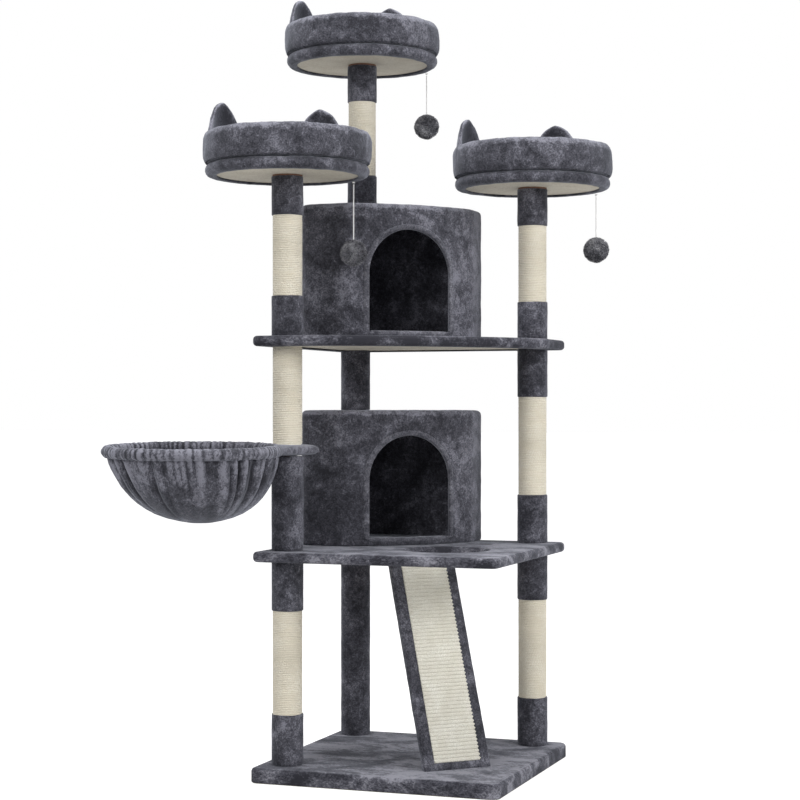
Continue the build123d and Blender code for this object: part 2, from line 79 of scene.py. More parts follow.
def noise_node(tree, place, scale, detail, distortion):
    """Noise texture on the given coordinates."""
    node = tree.nodes.new("ShaderNodeTexNoise")
    node.inputs["Scale"].default_value = scale
    node.inputs["Detail"].default_value = detail
    node.inputs["Distortion"].default_value = distortion
    tree.links.new(place, node.inputs["Vector"])
    return node


def sums(tree, operation, first, second):
    """Math node; each input is a socket or a number."""
    node = tree.nodes.new("ShaderNodeMath")
    node.operation = operation
    for slot, value in zip(node.inputs, (first, second)):
        if isinstance(value, (int, float)):
            slot.default_value = value
        else:
            tree.links.new(value, slot)
    return node.outputs[0]


def weighed(tree, first, share, second, other):
    """Two values added, each times its own share."""
    parts = [sums(tree, "MULTIPLY", *pair) for pair in ((first, share), (second, other))]
    return sums(tree, "ADD", *parts)


def spread(tree, value, low, high):
    """The value stretched so that low becomes 0 and high becomes 1, smoothly."""
    node = tree.nodes.new("ShaderNodeMapRange")
    node.interpolation_type = "SMOOTHSTEP"
    node.inputs["From Min"].default_value = low
    node.inputs["From Max"].default_value = high
    tree.links.new(value, node.inputs["Value"])
    return node.outputs["Result"]


def blended(tree, share, first, second):
    """Colour mix; each end is a socket or a colour."""
    node = tree.nodes.new("ShaderNodeMix")
    node.data_type = "RGBA"
    sockets = [s for s in node.inputs if s.type == "RGBA"]
    for slot, value in zip(sockets, (first, second)):
        if isinstance(value, tuple):
            slot.default_value = value
        else:
            tree.links.new(value, slot)
    tree.links.new(share, node.inputs["Factor"])
    return [s for s in node.outputs if s.type == "RGBA"][0]


def plush_group():
    """Pile pattern: broad patches, crinkled streaks and fibres, with the mesh's painted light and
    shade.
    """
    group, start, end = new_group(
        "crushed_plush",
        [
            ("Place", "NodeSocketVector", (0, 0, 0)),
            ("Lift", "NodeSocketFloat", 0.0),
            ("Crush", "NodeSocketFloat", 0.3),
            ("Shade", "NodeSocketColor", (0.03, 0.032, 0.042, 1)),
            ("Pile", "NodeSocketColor", (0.08, 0.084, 0.105, 1)),
            ("Streak", "NodeSocketColor", (0.2, 0.21, 0.245, 1)),
        ],
        [("Colour", "NodeSocketColor"), ("Height", "NodeSocketFloat")],
    )
    place = start.outputs["Place"]
    patches = noise_node(group, place, 13.0, 3.0, 0.8)
    streaks = noise_node(group, place, 70.0, 6.0, 0.9)
    fibres = noise_node(group, place, 300.0, 4.0, 0.6)
    patch_depth = sums(group, "SUBTRACT", patches.outputs[0], 0.5)
    broad = sums(group, "MULTIPLY", patch_depth, start.outputs["Crush"])
    fine = weighed(group, streaks.outputs[0], 0.32, fibres.outputs[0], 0.42)
    # Painted light and shade: the mesh's stored value lightens the pile on ridges, edges and lit
    # sides and darkens it in valleys and shaded parts.
    painted_light = sums(group, "MULTIPLY", start.outputs["Lift"], 0.3)
    pile_and_painted_light = sums(group, "ADD", sums(group, "ADD", fine, 0.115), sums(group, "ADD", broad, painted_light))
    to_pile = spread(group, pile_and_painted_light, 0.37, 0.52)
    to_streak = spread(group, pile_and_painted_light, 0.49, 0.66)
    dark_to_pile = blended(group, to_pile, start.outputs["Shade"], start.outputs["Pile"])
    colour = blended(group, to_streak, dark_to_pile, start.outputs["Streak"])
    height = weighed(group, streaks.outputs[0], 0.6, fibres.outputs[0], 0.4)
    link_up(group, (colour, end.inputs["Colour"]), (height, end.inputs["Height"]))
    return group


crushed_plush = plush_group()
print("group sockets", [s.name for s in crushed_plush.interface.items_tree])


# %% [markdown]
# Each finish keeps its own Principled shader. The sheen of plush is the same all over, so it is
# set straight on the shader, while the colour and the bump come from the shared group.

# %% Plush finishes
def new_finish(name):
    """Node material with its Principled shader and its Object coordinates."""
    finish = bpy.data.materials.new(name)
    finish.use_nodes = True
    tree = finish.node_tree
    shader = tree.nodes["Principled BSDF"]
    place = tree.nodes.new("ShaderNodeTexCoord").outputs["Object"]
    return finish, tree, shader, place


def bumped(tree, shader, height, strength, distance):
    """Bump from a height to the shader's normal."""
    node = tree.nodes.new("ShaderNodeBump")
    node.inputs["Strength"].default_value = strength
    node.inputs["Distance"].default_value = distance
    tree.links.new(height, node.inputs["Height"])
    tree.links.new(node.outputs["Normal"], shader.inputs["Normal"])


def stretched(tree, place, scale):
    """Coordinates drawn out along their axes."""
    node = tree.nodes.new("ShaderNodeMapping")
    node.inputs["Scale"].default_value = scale
    tree.links.new(place, node.inputs["Vector"])
    return node.outputs["Vector"]


def stored(tree, title):
    """Number that a mesh keeps on its points under a name."""
    node = tree.nodes.new("ShaderNodeAttribute")
    node.attribute_name = title
    return node.outputs["Fac"]


def plush_finish(name, shade, pile, streak, bump=0.5, sheen=0.35, stretch=(1, 1, 1), crush=0.3):
    """Crushed plush in three tones, from the depth of the pile to its lit streaks."""
    finish, tree, shader, place = new_finish(name)
    cloth = tree.nodes.new("ShaderNodeGroup")
    cloth.node_tree = crushed_plush
    for title, value in (("Shade", shade), ("Pile", pile), ("Streak", streak)):
        cloth.inputs[title].default_value = (*value, 1)
    cloth.inputs["Crush"].default_value = crush
    link_up(
        tree,
        (stretched(tree, place, stretch), cloth.inputs["Place"]),
        # The stored value paints light and shade into the pile's colour.
        (stored(tree, "painted_light_shade"), cloth.inputs["Lift"]),
        (cloth.outputs["Colour"], shader.inputs["Base Color"]),
    )
    shader.inputs["Roughness"].default_value = 0.95
    shader.inputs["Specular IOR Level"].default_value = 0.12
    shader.inputs["Sheen Weight"].default_value = sheen
    shader.inputs["Sheen Roughness"].default_value = 0.45
    shader.inputs["Sheen Tint"].default_value = (0.55, 0.58, 0.66, 1)
    bumped(tree, shader, cloth.outputs["Height"], bump, 0.003)
    return finish


plush = plush_finish(
    "charcoal plush",
    shade=(0.029, 0.029, 0.036),
    pile=(0.074, 0.074, 0.09),
    streak=(0.22, 0.22, 0.26),
    sheen=0.6,
    crush=0.45,
)
# Flat tops: less sheen, and tones a little lighter than the charcoal plush to stand in for it, a
# painted sheen.
plush_flat = plush_finish(
    "brushed charcoal plush",
    shade=(0.03, 0.03, 0.038),
    pile=(0.085, 0.085, 0.104),
    streak=(0.27, 0.27, 0.31),
    sheen=0.25,
    stretch=(0.6, 1, 1),
    crush=0.85,
)
plush_soft = plush_finish(
    "soft charcoal plush",
    shade=(0.027, 0.027, 0.033),
    pile=(0.068, 0.068, 0.083),
    streak=(0.22, 0.22, 0.26),
    sheen=0.6,
    stretch=(1, 1, 0.7),
    crush=0.6,
)
# A lighter copy of the plush for the door edging: a painted highlight on its rounded edge.
lit_plush_edge = plush_finish(
    "charcoal plush edge, painted highlight",
    shade=(0.04, 0.04, 0.05),
    pile=(0.11, 0.11, 0.13),
    streak=(0.28, 0.28, 0.32),
    sheen=0.7,
)
plush_fluff = plush_finish(
    "charcoal fluff",
    shade=(0.075, 0.075, 0.085),
    pile=(0.265, 0.265, 0.29),
    streak=(0.75, 0.75, 0.78),
    bump=0.2,
    sheen=0.3,
    stretch=(1.15, 1.15, 1.15),
    crush=0.5,
)
print("plush finishes", [m.name for m in (plush, plush_flat, plush_soft, lit_plush_edge, plush_fluff)])


# %% [markdown]
# The pale finishes: sisal rope with its twisted strands, the sisal mat, bare board with fine
# chips, brown tube card, white elastic, black plastic and zinc-plated steel. Pictures could
# show them, but noise at the right scale needs no file, has no seams and never repeats. The
# rope's strands follow values stored on its mesh.

# %% Sisal, board, card, elastic, plastic and steel
strand_pitch = 0.006
strand_count = 3


def sisal_finish(name, strands, low, high, hair_and_groove_shade):
    """Pale fibre; a wound rope adds strands that follow its own along and around values, with painted
    shade in their grooves.
    """
    finish, tree, shader, place = new_finish(name)
    hairs = noise_node(tree, place, 700.0, 3.0, 1.0)
    stains = noise_node(tree, place, 22.0, 3.0, 0.5)
    tone = blended(tree, spread(tree, stains.outputs[0], 0.3, 0.72), (*low, 1), (*high, 1))
    hair_tone = blended(tree, spread(tree, hairs.outputs[0], 0.36, 0.6), (*hair_and_groove_shade, 1), tone)
    height = hairs.outputs[0]
    colour = hair_tone
    if strands:
        turns = (2 * pi / strand_pitch, 2 * strand_count * pi)
        lay = weighed(tree, stored(tree, "along"), turns[0], stored(tree, "around"), turns[1])
        strand = sums(tree, "ADD", sums(tree, "MULTIPLY", sums(tree, "SINE", lay, 0.0), 0.5), 0.5)
        height = sums(tree, "ADD", strand, sums(tree, "MULTIPLY", hairs.outputs[0], 0.6))
        # Painted shade: the grooves between the strands take the dark hair tone.
        colour = blended(tree, spread(tree, strand, 0.0, 0.45), (*hair_and_groove_shade, 1), hair_tone)
    tree.links.new(colour, shader.inputs["Base Color"])
    shader.inputs["Roughness"].default_value = 0.85
    shader.inputs["Sheen Weight"].default_value = 0.2
    bumped(tree, shader, height, 0.5, 0.001)
    return finish


def grained_finish(name, low, high, scale, roughness, stretch=(1, 1, 1), metallic=0.0, bump=0.15):
    """Two-tone noise for the plain hard materials, drawn out along an axis that has a grain."""
    finish, tree, shader, place = new_finish(name)
    drawn = stretched(tree, place, stretch)
    grain = noise_node(tree, drawn, scale, 4.0, 0.3)
    broad = noise_node(tree, drawn, scale / 12, 2.0, 0.2)
    mixed = weighed(tree, grain.outputs[0], 0.7, broad.outputs[0], 0.3)
    colour = blended(tree, spread(tree, mixed, 0.35, 0.65), (*low, 1), (*high, 1))
    tree.links.new(colour, shader.inputs["Base Color"])
    rough = sums(tree, "ADD", sums(tree, "MULTIPLY", grain.outputs[0], 0.15), roughness - 0.07)
    tree.links.new(rough, shader.inputs["Roughness"])
    shader.inputs["Metallic"].default_value = metallic
    bumped(tree, shader, grain.outputs[0], bump, 0.0006)
    return finish


rope_sisal = sisal_finish(
    "twisted sisal", True, (0.86, 0.81, 0.69), (0.95, 0.92, 0.825), (0.73, 0.67, 0.54)
)
mat_sisal = sisal_finish(
    "sisal mat weave", False, (0.67, 0.65, 0.57), (0.78, 0.77, 0.7), (0.53, 0.5, 0.42)
)
white_elastic = grained_finish(
    "white elastic", (0.88, 0.88, 0.87), (0.97, 0.97, 0.96), 900.0, 0.7, (1, 1, 3), bump=0.1
)
hard_finish = {
    "board": grained_finish(
        "bare pale board", (0.55, 0.5, 0.4), (0.72, 0.675, 0.575), 260.0, 0.75
    ),
    "cardboard": grained_finish(
        "brown tube card", (0.15, 0.076, 0.046), (0.26, 0.145, 0.092), 180.0, 0.85, (1, 1, 4)
    ),
    "plug": grained_finish(
        "moulded black plastic", (0.025, 0.025, 0.027), (0.045, 0.045, 0.048), 420.0, 0.5
    ),
    "hardware": grained_finish(
        "zinc plated steel", (0.5, 0.5, 0.51), (0.66, 0.66, 0.67), 320.0, 0.34, (1, 1, 6), 1.0, 0.08
    ),
    "hoop_steel": grained_finish(
        "black powder coat", (0.02, 0.02, 0.021), (0.04, 0.04, 0.042), 900.0, 0.45, bump=0.3
    ),
}
painted = 0
for entry in frame["record"]["subparts"]:
    if entry["material_slot"] in hard_finish:
        slots = frame["nodes"][entry["node"]].data.materials
        slots.clear()
        slots.append(hard_finish[entry["material_slot"]])
        painted += 1
print("rigid pieces given a finish", painted)


# %% [markdown]
# Most soft pieces here are skins: rows of points joined into faces. A few helpers turn rows
# into an object, lay an uneven, hand-stretched surface over it, and hang it on its body in
# place of the plain solid.

# %% Helpers for skins
def new_piece(name, mesh, finish):
    """Object at the origin that carries a mesh and one finish."""
    mesh.materials.clear()
    mesh.materials.append(finish)
    piece = bpy.data.objects.new(name, mesh)
    bpy.context.scene.collection.objects.link(piece)
    return piece


def faced_out(mesh):
    """Merges doubles, turns the faces outwards and shades them smoothly."""
    work = bmesh.new()
    work.from_mesh(mesh)
    bmesh.ops.remove_doubles(work, verts=work.verts, dist=1e-6)
    bmesh.ops.recalc_face_normals(work, faces=work.faces)
    work.to_mesh(mesh)
    work.free()
    mesh.shade_smooth()
    return mesh


def skin(name, rows, around=True, along=False, ends=False):
    """Mesh from rows of equal counts, closed around, closed along or capped at its ends."""
    rows = np.asarray(rows, float)
    count_rows, count = rows.shape[:2]
    faces = []
    for i in range(count_rows if along else count_rows - 1):
        low = i * count
        high = (i + 1) % count_rows * count
        for j in range(count if around else count - 1):
            k = (j + 1) % count
            faces.append((low + j, low + k, high + k, high + j))
    if ends:
        faces.append(tuple(range(count - 1, -1, -1)))
        faces.append(tuple(range((count_rows - 1) * count, count_rows * count)))
    mesh = bpy.data.meshes.new(name)
    mesh.from_pydata(rows.reshape(-1, 3).tolist(), [], faces)
    return faced_out(mesh)


def turned_rows(profile, centre, steps):
    """Rows of a shape turned about an upright axis, from (radius, z) points."""
    angles = np.linspace(0, 2 * pi, steps, endpoint=False)
    ring = np.stack([np.cos(angles), np.sin(angles)], axis=1)
    rows = []
    for radius, z in profile:
        flat = ring * radius + np.array(centre[:2])
        rows.append(np.column_stack([flat, np.full(steps, z)]))
    return rows


def joined(name, meshes):
    """One mesh from several."""
    work = bmesh.new()
    for mesh in meshes:
        work.from_mesh(mesh)
    whole = bpy.data.meshes.new(name)
    work.to_mesh(whole)
    work.free()
    whole.shade_smooth()
    return whole


def uneven(mesh, depth, size, seed=0.0, ridged=False):
    """Moves each point along its normal by noise, as hand-stretched plush lies."""
    normals = [v.normal.copy() for v in mesh.vertices]
    shift = Vector((seed, seed * 1.7, -seed))
    for v, normal in zip(mesh.vertices, normals):
        place = v.co / size + shift
        lump = noise.noise(place) + 0.5 * noise.noise(place * 2.3 + Vector((5, 2, 9)))
        if ridged:
            lump = 0.6 - 1.6 * abs(lump)
        v.co += normal * depth * lump
    mesh.update()
    return mesh


def with_painted_light(mesh, values):
    """Stores painted light and shade at each point: above zero paler, below zero darker."""
    layer = mesh.attributes.new("painted_light_shade", "FLOAT", "POINT")
    layer.data.foreach_set("value", np.asarray(values, dtype=np.float32).ravel())
    return mesh


def dress(piece, body, slot_name, *nodes):
    """The piece stands for CAD nodes and moves with a body; the slot name is not used."""
    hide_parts(*nodes)
    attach(piece, body)
    return piece


def middle_of(node):
    """Centre of a node's box."""
    low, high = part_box(node)
    return (Vector(low) + Vector(high)) / 2


base_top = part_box("base_cover")[1][2]
middle_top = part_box("middle_shelf_cover")[1][2]
upper_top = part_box("upper_shelf_cover")[1][2]
print("levels", round(base_top, 3), round(middle_top, 3), round(upper_top, 3))


# %% [markdown]
# The base and the two shelves are boards wrapped in plush. The wrap rounds the edge and is
# folded under as a hem, so the underside shows bare board inside a plush border. Each outline
# is written with an inset, which gives rings of equal counts for the hem, the rounded edge and
# the top.

# %% Outlines of the base and shelves
least_radius = 0.002


def softened(corners, steps=8):
    """Closed outline from (x, y, radius) corners; a radius above zero becomes an arc."""
    points = []
    count = len(corners)
    for i, (x, y, radius) in enumerate(corners):
        here = Vector((x, y))
        if radius <= 0:
            points.append((x, y))
            continue
        back = (Vector(corners[i - 1][:2]) - here).normalized()
        ahead = (Vector(corners[(i + 1) % count][:2]) - here).normalized()
        half = back.angle(ahead) / 2
        centre = here + (back + ahead).normalized() * (radius / sin(half))
        first = here + back * (radius / tan(half)) - centre
        last = here + ahead * (radius / tan(half)) - centre
        sweep = atan2(first.x * last.y - first.y * last.x, first.dot(last))
        for k in range(steps + 1):
            turn = sweep * k / steps
            c, s = cos(turn), sin(turn)
            x_turned, y_turned = first.x * c - first.y * s, first.x * s + first.y * c
            points.append((centre.x + x_turned, centre.y + y_turned))
    return np.array(points)


def square_outline(half_x, half_y, radius):
    """Rounded rectangle about the middle, as a function of its inset."""
    def ring(inset):
        r = max(radius - inset, least_radius)
        x, y = half_x - inset, half_y - inset
        return softened([(x, -y, r), (x, y, r), (-x, y, r), (-x, -y, r)])
    return ring


bow_steps = 40


def bowed_outline(sides, front_flat, side_flat, bulge, radii, square_back=False):
    """Rectangle whose front-right corner is a bow, as a function of its inset."""
    left, right, front, back = sides
    start = Vector((left + front_flat, front))
    stop = Vector((right, back - side_flat))
    chord = stop - start
    bow_radius = (chord.length**2 / 4 + bulge**2) / (2 * bulge)
    outward = Vector((chord.y, -chord.x)).normalized()
    centre = (start + stop) / 2 - outward * (bow_radius - bulge)

    def ring(inset):
        radius = bow_radius - inset
        front_y = front + inset
        side_x = right - inset
        first = (centre.x + sqrt(radius**2 - (front_y - centre.y) ** 2), front_y)
        last = (side_x, centre.y - sqrt(radius**2 - (side_x - centre.x) ** 2))
        low = atan2(first[1] - centre.y, first[0] - centre.x)
        high = atan2(last[1] - centre.y, last[0] - centre.x)
        corner, join_front, join_side = (max(r - inset, least_radius) for r in radii)
        back_corner = least_radius if square_back else corner
        bow = []
        for a in np.linspace(low, high, bow_steps)[1:-1]:
            bow.append((centre.x + radius * cos(a), centre.y + radius * sin(a), 0))
        return softened(
            [
                (*first, join_front),
                *bow,
                (*last, join_side),
                (side_x, back - inset, back_corner),
                (left + inset, back - inset, back_corner),
                (left + inset, front_y, corner),
            ]
        )
    return ring


def edge_profile(low, high, round_low, round_high, steps=6):
    """(inset, z) pairs up a wrapped edge from its underside to its top."""
    pairs = []
    for k in range(steps + 1):
        turn = pi / 2 * k / steps
        pairs.append((round_low * (1 - sin(turn)), low + round_low * (1 - cos(turn))))
    for k in range(1, 4):
        pairs.append((0.0, low + round_low + (high - low - round_low - round_high) * k / 4))
    for k in range(steps + 1):
        turn = pi / 2 * k / steps
        pairs.append((round_high * (1 - cos(turn)), high - round_high * (1 - sin(turn))))
    return pairs


def ring_at(outline, inset, z):
    """Ring of points at one inset and one height."""
    flat = outline(inset)
    return np.column_stack([flat, np.full(len(flat), z)])


def filled(mesh, z_level, reach=1e-5):
    """Fills the open edges that lie at one height, holes kept open, and shades the whole."""
    work = bmesh.new()
    work.from_mesh(mesh)
    open_edges = [e for e in work.edges if e.is_boundary]
    rim = [e for e in open_edges if all(abs(v.co.z - z_level) < reach for v in e.verts)]
    bmesh.ops.triangle_fill(work, edges=rim, use_beauty=True)
    bmesh.ops.recalc_face_normals(work, faces=work.faces)
    work.to_mesh(mesh)
    work.free()
    mesh.shade_smooth()
    return mesh


print("outline points", len(square_outline(0.3, 0.294, 0.02)(0)))


# %% [markdown]
# A wrapped board is a stack of rings from the hem to a ring just inside the top edge. The top
# is then filled flat, round the climbing hole where there is one. The last ring lies in the
# same plane as the fill, so the light breaks at the rounded edge and not across the whole top.

# %% Wrapped base and shelves
edge_radius = 0.009
base_hem, shelf_hem = 0.0028, 0.045
# Painted light on the wrapped boards and mats: the top a little paler, the sides a little darker.
painted_top_light, painted_side_shade = 0.2, -0.04


def wrapped_board(name, outline, low, high, hem, hole=None):
    """Plush over a board, from a hem under it to its filled top; a wide hem is round below."""
    rings = [ring_at(outline, hem, low)]
    soft = min(edge_radius, 0.45 * (high - low))
    soft_low = 0.003
    if hem == shelf_hem:
        rings.append(ring_at(outline, 0.014, low - 0.0003))
        soft_low = soft
    rings += [ring_at(outline, *pair) for pair in edge_profile(low, high, soft_low, soft)]
    rings.append(ring_at(outline, soft + 0.004, high))
    mesh = skin(name, rings)
    if hole:
        (x, y), radius = hole
        lip = [
            (radius, low),
            (radius - 0.001, low + 0.004),
            (radius - 0.001, high - 0.004),
            (radius + 0.0015, high - 0.001),
            (radius + 0.006, high),
        ]
        mesh = joined(name, [mesh, skin(name + "_lip", turned_rows(lip, (x, y), 72))])
    mesh = filled(mesh, high)
    # Painted light: the filled top is painted paler and the sides darker.
    on_top = [v.co.z > high - 0.0005 for v in mesh.vertices]
    return with_painted_light(mesh, [painted_top_light if top else painted_side_shade for top in on_top])


corner_radius = 0.02
half_x, half_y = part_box("base_cover")[1][:2]
base_outline = square_outline(half_x, half_y, corner_radius)
base_mesh = wrapped_board("base_plush", base_outline, 0.001, base_top, base_hem)
dress(new_piece("base_plush", base_mesh, plush_flat), "tree", "plush", "base_cover")

shelf_x, shelf_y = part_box("middle_shelf_cover")[1][:2]
middle_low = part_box("middle_shelf_cover")[0][2]
upper_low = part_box("upper_shelf_cover")[0][2]
hole_radius, hole_near, hole_side = 0.1, 0.017, 0.028
hole_middle = (
    (hole_near + hole_radius + hole_side) / sqrt(2),
    (hole_side - hole_near - hole_radius) / sqrt(2),
)
middle_outline = square_outline(shelf_x, shelf_y, corner_radius)
hole = (hole_middle, hole_radius)
middle_mesh = wrapped_board(
    "middle_shelf_plush", middle_outline, middle_low, middle_top, shelf_hem, hole
)
middle_shelf = new_piece("middle_shelf_plush", middle_mesh, plush_flat)
dress(middle_shelf, "tree", "plush", "middle_shelf_cover")
upper_outline = bowed_outline(
    (-shelf_x, shelf_x, -shelf_y, shelf_y), 0.16, 0.165, 0.057, (corner_radius,) * 3
)
upper_mesh = wrapped_board("upper_shelf_plush", upper_outline, upper_low, upper_top, shelf_hem)
upper_shelf = new_piece("upper_shelf_plush", upper_mesh, plush_flat)
dress(upper_shelf, "tree", "plush", "upper_shelf_cover")
print("hole at", [round(v, 4) for v in hole_middle])


# %% [markdown]
# Each post is a card tube dressed in plush sleeves and sisal rope. A sleeve could be the tube's
# own solid with a new material, but then its ends would be sharp and its wall too true. It is a
# turned skin with soft ends, a little uneven, and with the seam that closes it running up the
# back.

# %% Plush sleeves
def sleeve_mesh(centre, low, high, radius, tube):
    """Plush sleeve round a tube."""
    soft = 0.002
    steps = max(6, int((high - low) / 0.012))
    straight = high - low - 2 * soft
    profile = [
        (tube, low),
        (radius - soft, low + 0.0004),
        (radius - soft * 0.3, low + soft * 0.35),
        (radius, low + soft),
    ]
    profile += [(radius, low + soft + straight * k / steps) for k in range(1, steps)]
    profile += [
        (radius, high - soft),
        (radius - soft * 0.3, high - soft * 0.35),
        (radius - soft, high - 0.0004),
        (tube, high),
    ]
    columns = 72
    rows = np.array(turned_rows(profile, centre, columns))
    seam = rows[4:-4, columns // 4]
    seam[:, :2] += (np.array(centre[:2]) - seam[:, :2]) * 0.04
    return uneven(skin("sleeve", rows), 0.0006, 0.03, low * 7)


sleeve_low, sleeve_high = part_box("front_left_sleeves")
sleeve_radius = (sleeve_high[0] - sleeve_low[0]) / 2
tube_radius = 0.0265
bare_card = 0.0035
wound = [name for name in frame["nodes"] if name.endswith("_sisal") and name != "ramp_sisal"]
rope_boxes = {name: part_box(name) for name in wound}
posts = {"front_left": [], "back_right": [], "back_left": []}
for name in frame["nodes"]:
    if not name.endswith("_tube"):
        continue
    low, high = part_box(name)
    centre = middle_of(name)
    post = name.rsplit("_", 2)[0]
    top = high[2] - (bare_card if "_top_" in name else 0.0)
    rope = name.replace("_tube", "_sisal")
    if rope in rope_boxes:
        rope_low, rope_high = rope_boxes[rope][0][2], rope_boxes[rope][1][2]
        bands = [(low[2], rope_low), (rope_high, top)]
    else:
        bands = [(low[2], top)]
    for band_low, band_high in bands:
        if band_high - band_low > 0.01:
            sleeve = sleeve_mesh(centre, band_low, band_high, sleeve_radius, tube_radius)
            posts[post].append(sleeve)
for post, meshes in posts.items():
    sleeves = new_piece(f"{post}_plush", joined(f"{post}_plush", meshes), plush)
    dress(sleeves, "tree", "plush", f"{post}_sleeves")
print("sleeves", {post: len(meshes) for post, meshes in posts.items()})


# %% [markdown]
# The rope follows a rule, so Geometry Nodes wind it: a spiral with a round section swept along
# it. The spiral stores how far along and how far around each point is, and the finish draws the
# twisted strands from those.

# %% Wound sisal rope
def nodes_tree(name, **inputs):
    """Empty Geometry Nodes tree with typed inputs by title and one geometry output."""
    tree = bpy.data.node_groups.new(name, "GeometryNodeTree")
    for title, kind in inputs.items():
        tree.interface.new_socket(title, in_out="INPUT", socket_type=f"NodeSocket{kind}")
    tree.interface.new_socket("Geometry", in_out="OUTPUT", socket_type="NodeSocketGeometry")
    given = tree.nodes.new("NodeGroupInput").outputs
    return tree, given, tree.nodes.new("NodeGroupOutput").inputs


def placed(tree, kind, **sockets):
    """Node with inputs set by name: a number or vector is written, a socket is linked."""
    node = tree.nodes.new(kind)
    for title, value in sockets.items():
        slot = node.inputs[title.replace("_", " ")]
        if isinstance(value, bpy.types.NodeSocket):
            tree.links.new(value, slot)
        else:
            slot.default_value = value
    return node


def coated(tree, geometry, finish, out):
    """Ends a tree: the geometry takes its material and is handed out."""
    coat = placed(tree, "GeometryNodeSetMaterial", Geometry=geometry, Material=finish)
    tree.links.new(coat.outputs["Geometry"], out["Geometry"])
    return tree


def grown(name, tree, values, base=None):
    """Plain mesh that a tree makes, from its inputs by title."""
    base = base or bpy.data.meshes.new(name + "_source")
    holder = bpy.data.objects.new(name + "_source", base)
    bpy.context.scene.collection.objects.link(holder)
    modifier = holder.modifiers.new("grow", "NODES")
    modifier.node_group = tree
    for item in tree.interface.items_tree:
        if item.item_type == "SOCKET" and item.in_out == "INPUT" and item.name in values:
            modifier[item.identifier] = values[item.name]
    holder.update_tag()
    graph = bpy.context.evaluated_depsgraph_get()
    mesh = bpy.data.meshes.new_from_object(holder.evaluated_get(graph))
    mesh.name = name
    bpy.data.objects.remove(holder)
    return mesh


def named(tree, geometry, title, value):
    """Stores a number on the points under a name."""
    node = placed(tree, "GeometryNodeStoreNamedAttribute", Geometry=geometry)
    node.data_type = "FLOAT"
    node.inputs["Name"].default_value = title
    tree.links.new(value, node.inputs["Value"])
    return node.outputs["Geometry"]


def winding_tree():
    """Rope of a round section wound up in a spiral."""
    tree, given, out = nodes_tree(
        "wound rope", Turns="Float", Height="Float", Radius="Float", Rope="Float", Finish="Material"
    )
    rail = placed(
        tree,
        "GeometryNodeCurveSpiral",
        Resolution=22,
        Rotations=given["Turns"],
        Start_Radius=given["Radius"],
        End_Radius=given["Radius"],
        Height=given["Height"],
    )
    ring = placed(tree, "GeometryNodeCurvePrimitiveCircle", Resolution=7, Radius=given["Rope"])
    way = tree.nodes.new("GeometryNodeSplineParameter")
    round_way = tree.nodes.new("GeometryNodeSplineParameter")
    rope = placed(
        tree,
        "GeometryNodeCurveToMesh",
        Curve=named(tree, rail.outputs["Curve"], "along", way.outputs["Length"]),
        Profile_Curve=named(tree, ring.outputs["Curve"], "around", round_way.outputs["Factor"]),
    )
    rope.inputs["Fill Caps"].default_value = True
    solid = placed(tree, "GeometryNodeRealizeInstances", Geometry=rope.outputs["Mesh"])
    smooth = placed(tree, "GeometryNodeSetShadeSmooth", Geometry=solid.outputs["Geometry"])
    return coated(tree, smooth.outputs["Geometry"], given["Finish"], out)


wound_rope = winding_tree()
rope_pitch = 0.0041
rope_sizes = {"Radius": 0.0328, "Rope": 0.0022, "Finish": rope_sisal}
for node, (low, high) in rope_boxes.items():
    span = high[2] - low[2] + rope_pitch
    turns = round(span / rope_pitch)
    mesh = grown(node + "_rope", wound_rope, {"Turns": float(turns), "Height": span, **rope_sizes})
    centre = middle_of(node.replace("_sisal", "_tube"))
    mesh.transform(Matrix.Translation((centre.x, centre.y, low[2] - rope_pitch / 2)))
    dress(new_piece(node + "_rope", mesh, rope_sisal), "tree", "sisal", node)
print("rope faces", len(mesh.polygons), "turns", turns)


# %% [markdown]
# A condo is three board panels wrapped in one piece of plush, so its edges are soft and no
# board shows. Bevels on each panel would leave seams where the panels meet. A copy of the
# panels is remeshed as one skin and smoothed instead, which rounds the edges as the wrap does.

# %% Wrapped condos
def merged_copy(name, nodes):
    """Copy of CAD nodes as one mesh with its doubles merged."""
    work = bmesh.new()
    for node in nodes:
        work.from_mesh(frame["nodes"][node].data)
    bmesh.ops.remove_doubles(work, verts=work.verts, dist=1e-5)
    mesh = bpy.data.meshes.new(name)
    work.to_mesh(mesh)
    work.free()
    return mesh


def rewrapped(name, mesh, voxel, smoothing):
    """The mesh as one even skin with softened edges."""
    holder = bpy.data.objects.new(name + "_source", mesh)
    bpy.context.scene.collection.objects.link(holder)
    even = holder.modifiers.new("even", "REMESH")
    even.mode = "VOXEL"
    even.voxel_size = voxel
    soft = holder.modifiers.new("soft", "SMOOTH")
    soft.factor = 0.5
    soft.iterations = smoothing
    graph = bpy.context.evaluated_depsgraph_get()
    wrapped = bpy.data.meshes.new_from_object(holder.evaluated_get(graph))
    wrapped.name = name
    bpy.data.objects.remove(holder)
    wrapped.shade_smooth()
    return wrapped


right_x, right_y = 0.94, 0.34
